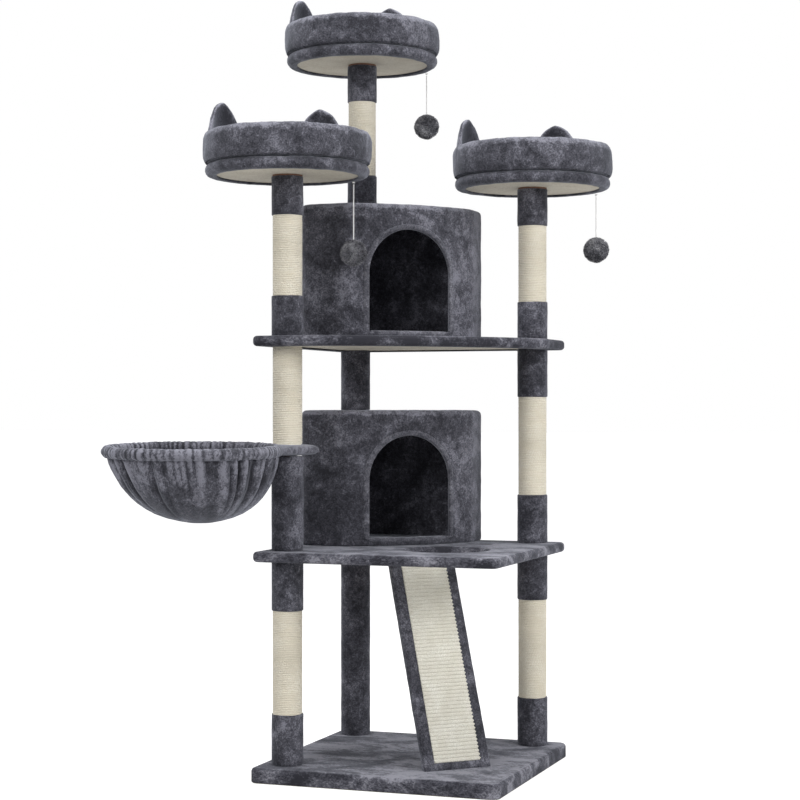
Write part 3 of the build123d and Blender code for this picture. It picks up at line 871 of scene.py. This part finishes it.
# Painted light on the condos: painted sheen on the wall that turns to the right and on the roof's top
# edge; the lower condo painted a little darker as shade, the upper a little lighter.
painted_sheen = 0.3
condo_skin = {"lower": (3.0, -0.05), "upper": (8.0, 0.04)}
for level, (seed, painted_wall_light) in condo_skin.items():
    panels = [f"{level}_condo_{panel}" for panel in ("roof", "wall", "back")]
    bare = merged_copy(f"{level}_condo_panels", panels)
    mesh = uneven(rewrapped(f"{level}_condo_plush", bare, 0.0042, 6), 0.0008, 0.035, seed)
    roof_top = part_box(panels[0])[1][2]
    painted_light = []
    # Painted sheen where the wall turns to the right and on the roof's top edge, plus each condo's
    # painted wall light.
    for v in mesh.vertices:
        facing = v.normal.x * right_x + v.normal.y * right_y
        turned_right = min(max((facing - 0.45) / 0.5, 0.0), 1.0)
        on_edge = v.co.z > roof_top - 0.014 and 0.15 < v.normal.z < 0.95
        painted_light.append(painted_sheen if on_edge else painted_sheen * turned_right + painted_wall_light)
    with_painted_light(mesh, painted_light)
    dress(new_piece(f"{level}_condo_plush", mesh, plush), "tree", "plush_board", *panels)
    print(level, "condo faces", len(mesh.polygons))


# %% [markdown]
# The doors are edged with a folded strip of plush that wraps the panel's edge, fuller on the
# left and over the arch. Its plush is a lighter copy, a painted highlight on the rounded edge.
# The strip follows the arch, and each of its points is found by carrying the arch straight
# through the curved wall.

# %% Door edging
(condo_left, condo_front, _), (condo_right, condo_back, _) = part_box("lower_condo_wall")
condo_outline = bowed_outline(
    (condo_left, condo_right, condo_front, condo_back),
    0.128,
    0.072,
    0.035,
    (0.04, 0.06, 0.06),
    square_back=True,
)
door_middle = Vector((condo_left + 0.258, condo_back - 0.237))
door_turn = radians(38)
door_way = Vector((sin(door_turn), -cos(door_turn)))
door_side = Vector((cos(door_turn), sin(door_turn)))
door_half, door_sill, door_straight = 0.113, 0.018, 0.139


def wall_point(across, inset):
    """Plan point of the wall at a shift across the doorway, furthest out along its way."""
    ring = condo_outline(inset)
    start = door_middle + door_side * across
    best = -1.0
    for i in range(len(ring)):
        a, b = Vector(ring[i - 1]), Vector(ring[i])
        edge = b - a
        bend = door_way.x * edge.y - door_way.y * edge.x
        if abs(bend) < 1e-12:
            continue
        offset = a - start
        t = (offset.x * edge.y - offset.y * edge.x) / bend
        s = (offset.x * door_way.y - offset.y * door_way.x) / bend
        if 0 <= s <= 1 and abs(t) < 0.16:
            best = max(best, t)
    return start + door_way * best


def door_stations(half, sill, straight, steps=32, side=12):
    """(across, height, outward across, outward height) round the doorway."""
    stations = [(-half, sill + straight * k / side, -1.0, 0.0) for k in range(side)]
    spring = sill + straight
    for k in range(steps + 1):
        turn = pi - pi * k / steps
        stations.append((half * cos(turn), spring + half * sin(turn), cos(turn), sin(turn)))
    stations += [(half, sill + straight * (1 - k / side), 1.0, 0.0) for k in range(1, side + 1)]
    stations += [(half * (1 - 2 * k / side), sill, 0.0, -1.0) for k in range(1, side)]
    return stations


def edging_mesh(name, bottom):
    """Strip folded over the wall's edge all round the doorway."""
    wall, band, proud = 0.015, 0.0095, 0.0016
    fuller_left, fuller_top = 0.010, 0.004
    section = [
        (band, 0.0005),
        (band - 0.001, -proud),
        (0.004, -proud * 1.3),
        (0.0, -0.001),
        (-0.0016, 0.003),
        (-0.0016, wall - 0.003),
        (0.0, wall + 0.001),
        (0.004, wall + proud),
        (band, wall + proud),
        (band, wall - 0.0005),
    ]
    rows = []
    for station in door_stations(door_half, door_sill, door_straight):
        across, height, out_across, out_height = station
        fuller = fuller_left * max(-out_across, 0.0) ** 2 + fuller_top * max(out_height, 0.0) ** 2
        row = []
        for reach, depth in section:
            out = reach - fuller * (1 - 0.5 * max(reach, 0.0) / band)
            flat = wall_point(across + out_across * out, 0.0) - door_way * depth
            row.append((flat.x, flat.y, bottom + max(height + out_height * out, 0.002)))
        rows.append(row)
    return skin(name, rows, around=True, along=True)


condo_floor = {"lower": middle_top, "upper": upper_top}
for level, bottom in condo_floor.items():
    strip = edging_mesh(f"{level}_door_edging", bottom)
    edging = new_piece(f"{level}_door_edging", strip, lit_plush_edge)
    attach(edging, "tree")
print("edging faces", len(edging.data.polygons))


# %% [markdown]
# A thin plush mat lies on the floor of each condo, a little lower than the sill of its door,
# where it shows as a pale strip. It could be a flat sheet, but a mat has a soft edge, so it is
# wrapped as the boards are.

# %% Condo mats
mat_inset = 0.018
mat_under, mat_over = 0.0002, 0.0112


def mat_outline(inset):
    """The condo's plan inside its walls, as a function of its inset."""
    return condo_outline(inset + mat_inset)


for level, bottom in condo_floor.items():
    mat_mesh = wrapped_board(
        f"{level}_condo_mat", mat_outline, bottom + mat_under, bottom + mat_over, base_hem
    )
    condo_mat = new_piece(f"{level}_condo_mat", mat_mesh, plush_flat)
    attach(condo_mat, "tree")
print("condo mat faces", len(mat_mesh.polygons))


# %% [markdown]
# A perch is a padded floor with a lip rolled under its board, and a stuffed ring sewn on top of
# it. The ring is a crowned closed form with the crumples of plush over loose filling. One ring
# is swollen by a cloth simulation with pressure inside it, and its result is copied to all
# three perches, each with crumples of its own.

# %% Perch floors, lips and stuffed rings
perch_centre = {name: middle_of(f"{name}_perch_board") for name in ("left", "right", "top")}
perch_level = {name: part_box(f"{name}_perch_board")[0][2] for name in perch_centre}
bed_height, ring_foot = 0.0275, 0.0238


def perch_profile(level):
    """(radius, z) up the lip and across the padded floor."""
    lip = [(0.165, 0.0005), (0.165, -0.003), (0.1675, -0.0046), (0.174, -0.0049)]
    for k in range(9):
        turn = -pi / 2 + pi * 0.93 * k / 8
        lip.append((0.1785 + 0.0125 * cos(turn), 0.0088 + 0.0138 * sin(turn)))
    floor = [(0.172, 0.0215), (0.15, 0.023), (0.135, 0.0245), (0.11, 0.0262), (0.07, 0.027)]
    floor += [(0.03, bed_height), (0.004, bed_height)]
    return [(radius, level + z) for radius, z in lip + floor]


def bulged(value, power):
    """A sine or cosine made squarer, with its sign kept."""
    return np.sign(value) * abs(value) ** power


def ring_rows():
    """Stuffed ring about the origin: a rounded, upright section carried round, on z = 0."""
    steps, section = 240, 48
    rows = []
    for k in range(section):
        turn = 2 * pi * k / section
        out, up = bulged(cos(turn), 0.46), bulged(sin(turn), 0.42)
        rows.append((0.1665 + 0.027 * out, 0.04 + 0.0398 * up))
    return turned_rows(rows, (0, 0), steps)


filling_frames = 20


def stuffed(mesh, sewn_below, pressure, cap):
    """The closed cloth swollen by its filling, sewn down below and capped in its movement."""
    holder = bpy.data.objects.new("stuffing", mesh)
    bpy.context.scene.collection.objects.link(holder)
    before = np.array([v.co for v in mesh.vertices])
    sewn = holder.vertex_groups.new(name="sewn")
    sewn.add([int(i) for i in np.flatnonzero(before[:, 2] < sewn_below)], 1.0, "REPLACE")
    cloth = holder.modifiers.new("filling", "CLOTH")
    cloth.settings.quality = 5
    cloth.settings.use_pressure = True
    cloth.settings.uniform_pressure_force = pressure
    cloth.settings.vertex_group_mass = "sewn"
    cloth.settings.shrink_min = -0.05
    cloth.settings.effector_weights.gravity = 0.0
    cloth.collision_settings.use_collision = False
    cloth.point_cache.frame_start = 1
    cloth.point_cache.frame_end = filling_frames
    for step in range(1, filling_frames + 1):
        bpy.context.scene.frame_set(step)
    graph = bpy.context.evaluated_depsgraph_get()
    after = np.array([v.co for v in holder.evaluated_get(graph).data.vertices])
    bpy.context.scene.frame_set(1)
    bpy.data.objects.remove(holder)
    move = after - before
    far = np.linalg.norm(move, axis=1, keepdims=True)
    move *= np.minimum(1.0, cap / np.maximum(far, 1e-9))
    mesh.vertices.foreach_set("co", (before + move).ravel())
    mesh.update()
    average, most = (round(float(value) * 1000, 2) for value in (far.mean(), far.max()))
    print("filling moved the cloth by", average, "mm on average, at most", most)
    return mesh


ring_tall = {"left": 1.0, "right": 1.04, "top": 1.0}
ring_form = skin("stuffed_ring", ring_rows(), along=True)
stuffed(ring_form, sewn_below=0.004, pressure=3.0, cap=0.0045)
for name, centre in perch_centre.items():
    level = perch_level[name]
    floor_rows = turned_rows(perch_profile(level), centre, 180)
    floor_mesh = uneven(skin(f"{name}_perch_plush", floor_rows), 0.0008, 0.03, level * 3)
    floor_mesh = filled(floor_mesh, level + bed_height, 0.002)
    floor = new_piece(f"{name}_perch_plush", floor_mesh, plush)
    dress(floor, "tree", "plush", f"{name}_perch_cover")
    ring_mesh = ring_form.copy()
    ring_mesh.transform(Matrix.Diagonal((1, 1, ring_tall[name], 1)))
    ring_mesh.transform(Matrix.Translation((centre.x, centre.y, level + ring_foot)))
    uneven(ring_mesh, 0.0016, 0.05, level * 5)
    uneven(ring_mesh, 0.0008, 0.018, level * 9, ridged=True)
    # Painted highlight on the ring's upper shoulders.
    with_painted_light(ring_mesh, [0.25 if 0.25 < v.normal.z < 0.9 else 0.0 for v in ring_mesh.vertices])
    ring = new_piece(f"{name}_perch_ring", ring_mesh, plush)
    dress(ring, "tree", "padding", f"{name}_perch_bolster")
print("ring faces", len(ring_mesh.polygons))


# %% [markdown]
# Two ears stand on each ring. An ear carries on from the ring's outer wall, leans in over the
# bed and narrows to a rounded tip, with its inner face pressed hollow. It is lofted from closed
# sections that follow the ring.

# %% Ears
ear_shares = (0.0, 0.1, 0.2, 0.3, 0.4, 0.5, 0.6, 0.7, 0.78, 0.85, 0.9, 0.94, 0.97, 0.99, 0.998)
ear_columns = 56
ear_sizes = ((radians(86), 0.1035, 0.84), (radians(176), 0.1055, 1.0))


def ear_mesh(name, centre, level, heading, height, breadth):
    """Ear over one heading of a ring, from its root inside the ring to its tip."""
    rows = []
    painted_light = []
    for v in ear_shares:
        below = 100 * height * (1 - v)
        tip = 0.023 * sqrt(min(below / 1.8, 1.0))
        width = breadth * min(0.012 * below**0.8 + tip, 0.086)
        thick = 0.0125 * (1 - 0.35 * v)
        if v > 0.85:
            thick *= 0.35 + 0.65 * sqrt(max(1 - ((v - 0.85) / 0.15) ** 2, 0.0))
        middle = 0.1805 - 0.008 * v**1.2
        z = level + 0.073 + height * v
        row = []
        for k in range(ear_columns):
            turn = 2 * pi * k / ear_columns
            side = bulged(cos(turn), 0.8)
            depth = bulged(sin(turn), 0.8)
            hollow = 0.01 * (1 - side**2) * sin(pi * min(v * 1.05, 1)) if depth < 0 else 0.0
            radius = middle + thick * depth + hollow
            angle = heading + width * side / 0.175
            row.append((centre.x + radius * cos(angle), centre.y + radius * sin(angle), z))
            # Painted shade on the hollow inner face, with painted highlights towards its sides and
            # tip; the outer face a little lighter.
            painted_light.append(0.75 * (side**4 + v**6) - 0.42 if depth < 0 else 0.1)
        rows.append(row)
    return with_painted_light(skin(name, rows, ends=True), painted_light)


ear_meshes = []
for name, centre in perch_centre.items():
    for heading, height, breadth in ear_sizes:
        ear = ear_mesh("ear", centre, perch_level[name], heading, height, breadth)
        ear_meshes.append(uneven(ear, 0.0009, 0.025, heading))
ears = new_piece("perch_ears_plush", joined("perch_ears_plush", ear_meshes), plush)
dress(ears, "tree", "plush", "perch_ears")
print("ears", len(ear_meshes))


# %% [markdown]
# The hammock is a bowl of plush gathered into a hoop. The casing of the hoop is ruched, and its
# flat nose reaches round the post between two sleeves. The folds run down the bowl and fade
# towards its bottom, and they are uneven in width, as a hand-gathered edge is. A simulation
# could gather the cloth, but folds from a sum of waves come out the same each run and stay in
# the room that the hammock has.

# %% Hammock casing and bowl
post_place = middle_of("front_left_middle_tube")
hub_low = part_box("front_left_middle_tube")[1][2]
hub_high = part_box("front_left_hammock_tube")[0][2]
rim_z = (hub_low + hub_high) / 2
hammock_turn = radians(48)
towards = Vector((-cos(hammock_turn), -sin(hammock_turn)))
sideways = Vector((-towards.y, towards.x))
post_flat = Vector((post_place.x, post_place.y))
hoop_reach, hoop_radius = 0.237, 0.1925
bowl_place = post_flat + towards * hoop_reach


def gather(angle, count, seed):
    """Height of a gathered edge: round ridges with sharp valleys, uneven in width and depth."""
    slow = 2.2 * sin(3 * angle + seed)
    quick = 1.6 * sin(7 * angle + 2 * seed)
    phase = count * angle + slow + quick + 1.1 * sin(13 * angle + seed)
    waves = 0.45 * sin(5 * angle + seed) * sin(2 * angle + 1.0)
    depth = 0.7 + waves + 0.25 * sin(11 * angle + 3 * seed)
    return depth * (abs(sin(phase / 2)) - 0.6)


hoop_lean, lean_heading = 0.0055, radians(70)


def lean(angle):
    """Height of the hoop at an angle: the front side hangs a little lower than the back."""
    return -hoop_lean * cos(angle + lean_heading)


casing_radius = 0.0131
casing_painted_light = []


def casing_rows():
    """Ruched tube round the hoop."""
    around, across = 1080, 20
    rows = []
    for k in range(across):
        turn = 2 * pi * k / across
        row = []
        for i in range(around):
            angle = 2 * pi * i / around
            lumps = noise.noise(Vector((cos(angle) * 9, sin(angle) * 9, 2 * cos(turn))))
            ruche = 0.6 * gather(angle + 0.02 * lumps, 88, 0.7) + 0.5 * gather(angle, 55, 2.9)
            thick = casing_radius + 0.002 * ruche + 0.0013 * lumps
            # Painted light: the casing a little paler as sheen, darker in the valleys of the ruching
            # and paler on its ridges.
            casing_painted_light.append(0.14 + 1.05 * ruche)
            radius = hoop_radius + thick * cos(turn)
            flat_x, flat_y = bowl_place.x + radius * cos(angle), bowl_place.y + radius * sin(angle)
            row.append((flat_x, flat_y, rim_z + lean(angle) + thick * sin(turn)))
        rows.append(row)
    return rows


nose_root, nose_round, nose_tip = -0.052, 0.014, 0.0775
nose_half, nose_tall, nose_columns = 0.043, 0.0133, 32


def nose_rows():
    """Flat casing that flares towards the hoop and closes round the hub to a rounded tip."""
    rows = []
    for x in np.linspace(nose_root, nose_tip, 40):
        reach = min(max((x - nose_round) / 0.0637, 0.0), 1.0)
        flare = 0.085 - 0.55 * (x - nose_root) if reach < 0.5 else 0.0
        half = max(nose_half * sqrt(max(1 - reach**2, 0.0)) + 0.0006, flare)
        tall = nose_tall * (1 - 0.2 * reach**2) * (1 - 0.7 * reach**6)
        row = []
        for k in range(nose_columns):
            turn = 2 * pi * k / nose_columns
            across, up = half * bulged(cos(turn), 0.7), tall * bulged(sin(turn), 0.7)
            flat = post_flat - towards * x + sideways * across
            row.append((flat.x, flat.y, rim_z + up))
        rows.append(row)
    return rows


casing_parts = [skin("casing", casing_rows(), along=True), skin("nose", nose_rows(), ends=True)]
casing_mesh = joined("hammock_casing", casing_parts)
# Painted sheen on the nose.
nose_painted_sheen = [0.22] * (len(casing_mesh.vertices) - len(casing_painted_light))
with_painted_light(casing_mesh, casing_painted_light + nose_painted_sheen)
casing = new_piece("hammock_casing", casing_mesh, plush_soft)
dress(casing, "hammock", "plush", "hammock_rim")

bowl_line = [(0.1925, -0.01), (0.19, -0.018), (0.187, -0.028), (0.183, -0.04), (0.178, -0.053)]
bowl_line += [(0.1725, -0.066), (0.166, -0.08), (0.157, -0.093), (0.147, -0.106), (0.134, -0.119)]
bowl_line += [(0.1175, -0.1315), (0.099, -0.1425), (0.076, -0.1515), (0.051, -0.158)]
bowl_line += [(0.027, -0.1625), (0.004, -0.164)]
bowl_painted_light = []


def bowl_rows():
    """Gathered bowl, from its rim down to a small ring at its bottom."""
    around = 600
    rows = []
    for k, (radius, drop) in enumerate(bowl_line):
        share = k / (len(bowl_line) - 1)
        broad_fade = (1 - share) ** 1.5 * min(1.0, 0.35 + 4 * share)
        fine_fade = max(0.0, 1 - 1.8 * share)
        row = []
        for i in range(around):
            angle = 2 * pi * i / around
            bent = angle + 0.06 * share * sin(4 * angle + 1.0)
            broad = broad_fade * gather(bent, 25, 2.1)
            fine = fine_fade * gather(angle, 54, 4.4)
            r = radius + 0.024 * broad + 0.007 * fine
            sag = 0.003 + 0.017 * share
            flat_x = bowl_place.x + sag * right_x + r * cos(angle)
            flat_y = bowl_place.y + sag * right_y + r * sin(angle)
            z = rim_z + drop + (1 - share) * lean(angle) + 0.005 * broad
            row.append((flat_x, flat_y, z))
            # Painted highlight on the ridges of the folds, painted shade in their valleys.
            bowl_painted_light.append(0.03 + 1.15 * broad + 0.6 * fine)
        rows.append(row)
    return rows


bowl_skin = skin("hammock_bowl_plush", bowl_rows())
bowl_mesh = with_painted_light(filled(bowl_skin, rim_z + bowl_line[-1][1], 0.002), bowl_painted_light)
bowl = new_piece("hammock_bowl_plush", bowl_mesh, plush_soft)
wall = bowl.modifiers.new("cloth", "SOLIDIFY")
wall.thickness = 0.003
wall.offset = -1.0
dress(bowl, "hammock", "plush", "hammock_bowl")
bowl_area = sum(face.area for face in bowl_mesh.polygons)
print("bowl cloth", round(bowl_area, 4), "square metres")


# %% [markdown]
# Three plush balls hang on white elastic from the perches. The elastic is a free cord with its
# own length, so it is a smooth curve. The fluff is grown by Geometry Nodes: tapered tufts on a
# round core, each leaning its own way.

# %% Hanging toys
def tuft_tree():
    """Tapered tufts over a round core, each leaning its own way."""
    tree, given, out = nodes_tree(
        "ball fluff", Geometry="Geometry", Tufts="Int", Length="Float", Finish="Material"
    )
    core = given["Geometry"]
    cone = placed(
        tree,
        "GeometryNodeMeshCone",
        Vertices=4,
        Radius_Top=0.0003,
        Radius_Bottom=0.0013,
        Depth=given["Length"],
    )
    spots = placed(tree, "GeometryNodeDistributePointsOnFaces", Mesh=core, Seed=7)
    area = placed(tree, "GeometryNodeAttributeStatistic", Geometry=core)
    area.domain = "FACE"
    face_area = tree.nodes.new("GeometryNodeInputMeshFaceArea")
    density = sums(tree, "DIVIDE", given["Tufts"], area.outputs["Sum"])
    tilt = tree.nodes.new("FunctionNodeRandomValue")
    tilt.data_type = "FLOAT_VECTOR"
    tilt.inputs["Min"].default_value = (-0.55, -0.55, 0.0)
    tilt.inputs["Max"].default_value = (0.55, 0.55, 6.28)
    turn = placed(tree, "FunctionNodeRotateRotation", Rotation=spots.outputs["Rotation"])
    turn.rotation_space = "LOCAL"
    tufts = placed(
        tree,
        "GeometryNodeInstanceOnPoints",
        Points=spots.outputs["Points"],
        Instance=cone.outputs["Mesh"],
        Rotation=turn.outputs["Rotation"],
    )
    both = tree.nodes.new("GeometryNodeJoinGeometry")
    link_up(
        tree,
        (face_area.outputs[0], area.inputs["Attribute"]),
        (density, spots.inputs["Density"]),
        (tilt.outputs["Value"], turn.inputs["Rotate By"]),
        (core, both.inputs[0]),
        (tufts.outputs["Instances"], both.inputs[0]),
    )
    solid = placed(tree, "GeometryNodeRealizeInstances", Geometry=both.outputs["Geometry"])
    return coated(tree, solid.outputs["Geometry"], given["Finish"], out)


def ball_core(radius):
    """Slightly lumpy round core."""
    work = bmesh.new()
    bmesh.ops.create_icosphere(work, subdivisions=4, radius=radius)
    mesh = bpy.data.meshes.new("ball_core")
    work.to_mesh(mesh)
    work.free()
    return uneven(faced_out(mesh), 0.0016, 0.018, 4.0)


def knot_mesh(name, centre):
    """Small knot: one closed trefoil of elastic."""
    around, across, rope, size = 72, 8, 0.0011, 0.00085
    turns = [2 * pi * k / across for k in range(across)]
    rows = []
    for i in range(around):
        t = 2 * pi * i / around
        here = Vector((sin(t) + 2 * sin(2 * t), cos(t) - 2 * cos(2 * t), -sin(3 * t))) * size
        ahead = Vector((cos(t) + 4 * cos(2 * t), -sin(t) + 4 * sin(2 * t), -3 * cos(3 * t)))
        ahead.normalize()
        side = ahead.cross(Vector((0, 0, 1))).normalized()
        up = side.cross(ahead)
        rows.append([centre + here + (side * cos(a) + up * sin(a)) * rope for a in turns])
    return skin(name, rows, along=True)


ball_fluff = tuft_tree()
ball_sizes = {"Tufts": 2200, "Length": 0.0085, "Finish": plush_fluff}
core_radius, into_ball = 0.0245, 0.012
for name in perch_centre:
    knot_place = middle_of(f"{name}_toy_knot")
    string_low, string_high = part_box(f"{name}_toy_string")
    ball_place = middle_of(f"{name}_toy_ball")
    knot = new_piece(f"{name}_toy_tie", knot_mesh(f"{name}_toy_tie", knot_place), white_elastic)
    dress(knot, f"{name}_toy_hook", "string", f"{name}_toy_knot")
    ball_mesh = grown(f"{name}_toy_fluff", ball_fluff, ball_sizes, ball_core(core_radius))
    ball_mesh.transform(Matrix.Translation(ball_place))
    ball = new_piece(f"{name}_toy_fluff", ball_mesh, plush_fluff)
    dress(ball, f"{name}_toy", "toy_plush", f"{name}_toy_ball")
    line = bpy.data.curves.new(f"{name}_toy_elastic", "CURVE")
    line.dimensions = "3D"
    line.bevel_depth = 0.0014
    line.bevel_resolution = 3
    line.use_fill_caps = True
    run = line.splines.new("NURBS")
    x, y = knot_place.x, knot_place.y
    heights = np.linspace(string_high[2], string_low[2] - into_ball, 5)
    run.points.add(len(heights) - 1)
    for point, z in zip(run.points, heights):
        point.co = (x, y, z, 1)
    run.order_u = 3
    run.use_endpoint_u = True
    elastic = new_piece(f"{name}_toy_elastic", line, white_elastic)
    dress(elastic, f"{name}_toy", "string", f"{name}_toy_string")


# %% [markdown]
# The ramp is a plush-covered board that leans from the base up to the hole, with a sisal mat on
# its face. Rows are cut level, so both ends sit flat on the base and under the shelf. The mat's
# ribs repeat up the slope, so Geometry Nodes lay them.

# %% Ramp and its mat
ramp_low, ramp_high = base_top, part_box("middle_shelf_board")[0][2]
ramp_foot, ramp_run, ramp_shift = 0.212, 0.195, 0.012
slope = Vector((-ramp_run, ramp_high - ramp_low)).normalized()
face_out = Vector((slope.y, -slope.x))


def ramp_point(z, across, out):
    """Point of the ramp at a height, a shift across and a distance out from its face."""
    t = (z - ramp_low - out * face_out.y) / slope.y
    along = ramp_foot + t * slope.x + out * face_out.x
    side = ramp_shift + across
    return ((along + side) / sqrt(2), (side - along) / sqrt(2), z)


def ramp_section(half, low, high, soft):
    """(across, out) round a board's cut."""
    corners = [(half, low, soft), (half, high, soft), (-half, high, soft), (-half, low, soft)]
    return softened(corners, 5)


ramp_cut = ramp_section(0.085, -0.018, 0.0006, 0.0055)
ramp_heights = np.linspace(ramp_low, ramp_high, 60)
ramp_rows = [[ramp_point(z, across, out) for across, out in ramp_cut] for z in ramp_heights]
ramp_mesh = uneven(skin("ramp_plush", ramp_rows, ends=True), 0.0006, 0.03, 2.0)
dress(new_piece("ramp_plush", ramp_mesh, plush), "tree", "plush_board", "ramp_board")


def mat_tree():
    """Row of ribs laid side by side and shaken a little out of line."""
    tree, given, out = nodes_tree(
        "ribbed mat", Ribs="Int", Pitch="Float", Width="Float", Rib="Float", Finish="Material"
    )
    rib = placed(
        tree,
        "GeometryNodeMeshCylinder",
        Vertices=8,
        Side_Segments=42,
        Radius=given["Rib"],
        Depth=given["Width"],
    )
    flat = (0, pi / 2, 0)
    laid = placed(tree, "GeometryNodeTransform", Geometry=rib.outputs["Mesh"], Rotation=flat)
    step = placed(tree, "ShaderNodeCombineXYZ", Y=given["Pitch"])
    rows = placed(tree, "GeometryNodeMeshLine", Count=given["Ribs"], Offset=step.outputs["Vector"])
    ribs = placed(
        tree,
        "GeometryNodeInstanceOnPoints",
        Points=rows.outputs["Mesh"],
        Instance=laid.outputs["Geometry"],
    )
    solid = placed(tree, "GeometryNodeRealizeInstances", Geometry=ribs.outputs["Instances"])
    rough = placed(tree, "ShaderNodeTexNoise", Scale=170.0, Detail=2.0)
    centred = tree.nodes.new("ShaderNodeVectorMath")
    centred.operation = "SUBTRACT"
    tree.links.new(rough.outputs["Color"], centred.inputs[0])
    centred.inputs[1].default_value = (0.5, 0.5, 0.5)
    little = tree.nodes.new("ShaderNodeVectorMath")
    little.operation = "SCALE"
    tree.links.new(centred.outputs[0], little.inputs[0])
    little.inputs["Scale"].default_value = 0.0028
    shake = little.outputs[0]
    shaken = placed(tree, "GeometryNodeSetPosition", Geometry=solid.outputs["Geometry"], Offset=shake)
    smooth = placed(tree, "GeometryNodeSetShadeSmooth", Geometry=shaken.outputs["Geometry"])
    return coated(tree, smooth.outputs["Geometry"], given["Finish"], out)


mat_half = 0.0585
mat_low, mat_high = ramp_low + 0.016, ramp_high - 0.0003
mat_length = (mat_high - mat_low) / slope.y
rib_pitch = 0.0088
ribs = int((mat_length - rib_pitch) / rib_pitch)
mat_sizes = {"Ribs": ribs, "Pitch": rib_pitch, "Width": 2 * mat_half, "Rib": 0.0047}
ribs_mesh = grown("mat_ribs", mat_tree(), {**mat_sizes, "Finish": mat_sisal})
for v in ribs_mesh.vertices:
    out = 0.0014 + v.co.z * 0.3
    z = mat_low + (v.co.y + rib_pitch / 2) * slope.y + out * face_out.y
    edge = 0.0017 * cos(2 * pi * v.co.y / rib_pitch) if v.co.x > 0.05 else 0.0
    v.co = ramp_point(z, v.co.x + edge, out)
faced_out(ribs_mesh)
dress(new_piece("ramp_mat", ribs_mesh, mat_sisal), "tree", "sisal", "ramp_sisal")
print("mat ribs", ribs, "faces", len(ribs_mesh.polygons))


# %% [markdown]
# The stage is a plain white floor and an even white surround, with soft lamps in front and
# above. The floor looks white to the camera and still takes the tree's shadow. The camera
# stands where the photograph was taken from.

# %% Stage, light and camera
def seen_share(tree):
    """1 for rays from the camera and those that gloss or glass sends on, else 0."""
    rays = tree.nodes.new("ShaderNodeLightPath").outputs
    bent = sums(tree, "MAXIMUM", rays["Is Glossy Ray"], rays["Is Transmission Ray"])
    return sums(tree, "MAXIMUM", rays["Is Camera Ray"], bent)


def stage_floor():
    """Wide floor just under the base."""
    work = bmesh.new()
    bmesh.ops.create_grid(work, x_segments=4, y_segments=4, size=60.0)
    mesh = bpy.data.meshes.new("floor")
    work.to_mesh(mesh)
    work.free()
    mesh.transform(Matrix.Translation((0, 0, -0.0005)))
    finish = bpy.data.materials.new("white floor")
    finish.use_nodes = True
    tree = finish.node_tree
    shader = tree.nodes["Principled BSDF"]
    shader.inputs["Base Color"].default_value = (0.5, 0.5, 0.5, 1)
    shader.inputs["Roughness"].default_value = 0.9
    shader.inputs["Emission Color"].default_value = (1, 1, 1, 1)
    glow = sums(tree, "MULTIPLY", seen_share(tree), 0.82)
    tree.links.new(glow, shader.inputs["Emission Strength"])
    return new_piece("floor", mesh, finish)


stage_floor()

world = bpy.data.worlds.new("white surround")
bpy.context.scene.world = world
world.use_nodes = True
sky = world.node_tree
backdrop = sky.nodes["Background"]
backdrop.inputs["Color"].default_value = (1, 1, 1, 1)
room_light = 0.42
extra = sums(sky, "MULTIPLY", seen_share(sky), 0.58)
sky.links.new(sums(sky, "ADD", extra, room_light), backdrop.inputs["Strength"])


def soft_lamp(name, place, aim, size, power):
    """Square area lamp aimed at a point."""
    lamp = bpy.data.lights.new(name, "AREA")
    lamp.shape = "SQUARE"
    lamp.size = size
    lamp.energy = power
    stand = bpy.data.objects.new(name, lamp)
    stand.location = place
    stand.rotation_euler = (Vector(aim) - Vector(place)).to_track_quat("-Z", "Y").to_euler()
    bpy.context.scene.collection.objects.link(stand)


soft_lamp("front lamp", (-1.2, -4.4, 3.0), (0, 0, 0.9), 2.4, 85)
soft_lamp("right lamp", (4.0, -1.0, 2.2), (0, 0, 1.0), 2.0, 98)
soft_lamp("top lamp", (-0.3, -0.6, 4.6), (0, 0, 0.9), 2.6, 120)

bpy.context.scene.view_settings.view_transform = "Standard"
lens = bpy.data.cameras.new("photo view")
photo_pixels, focal_pixels, raised_pixels = 800, 1960.6, 7.8
lens.sensor_width = 36.0
lens.lens = focal_pixels / photo_pixels * 36.0
lens.shift_y = raised_pixels / photo_pixels
eye = bpy.data.objects.new("photo view", lens)
eye.location = (1.559, -4.418, 0.8638)
eye.rotation_euler = Vector((-0.3395, 0.9406, 0.0)).to_track_quat("-Z", "Y").to_euler()
bpy.context.scene.collection.objects.link(eye)
bpy.context.scene.camera = eye
print("lens", round(lens.lens, 2))
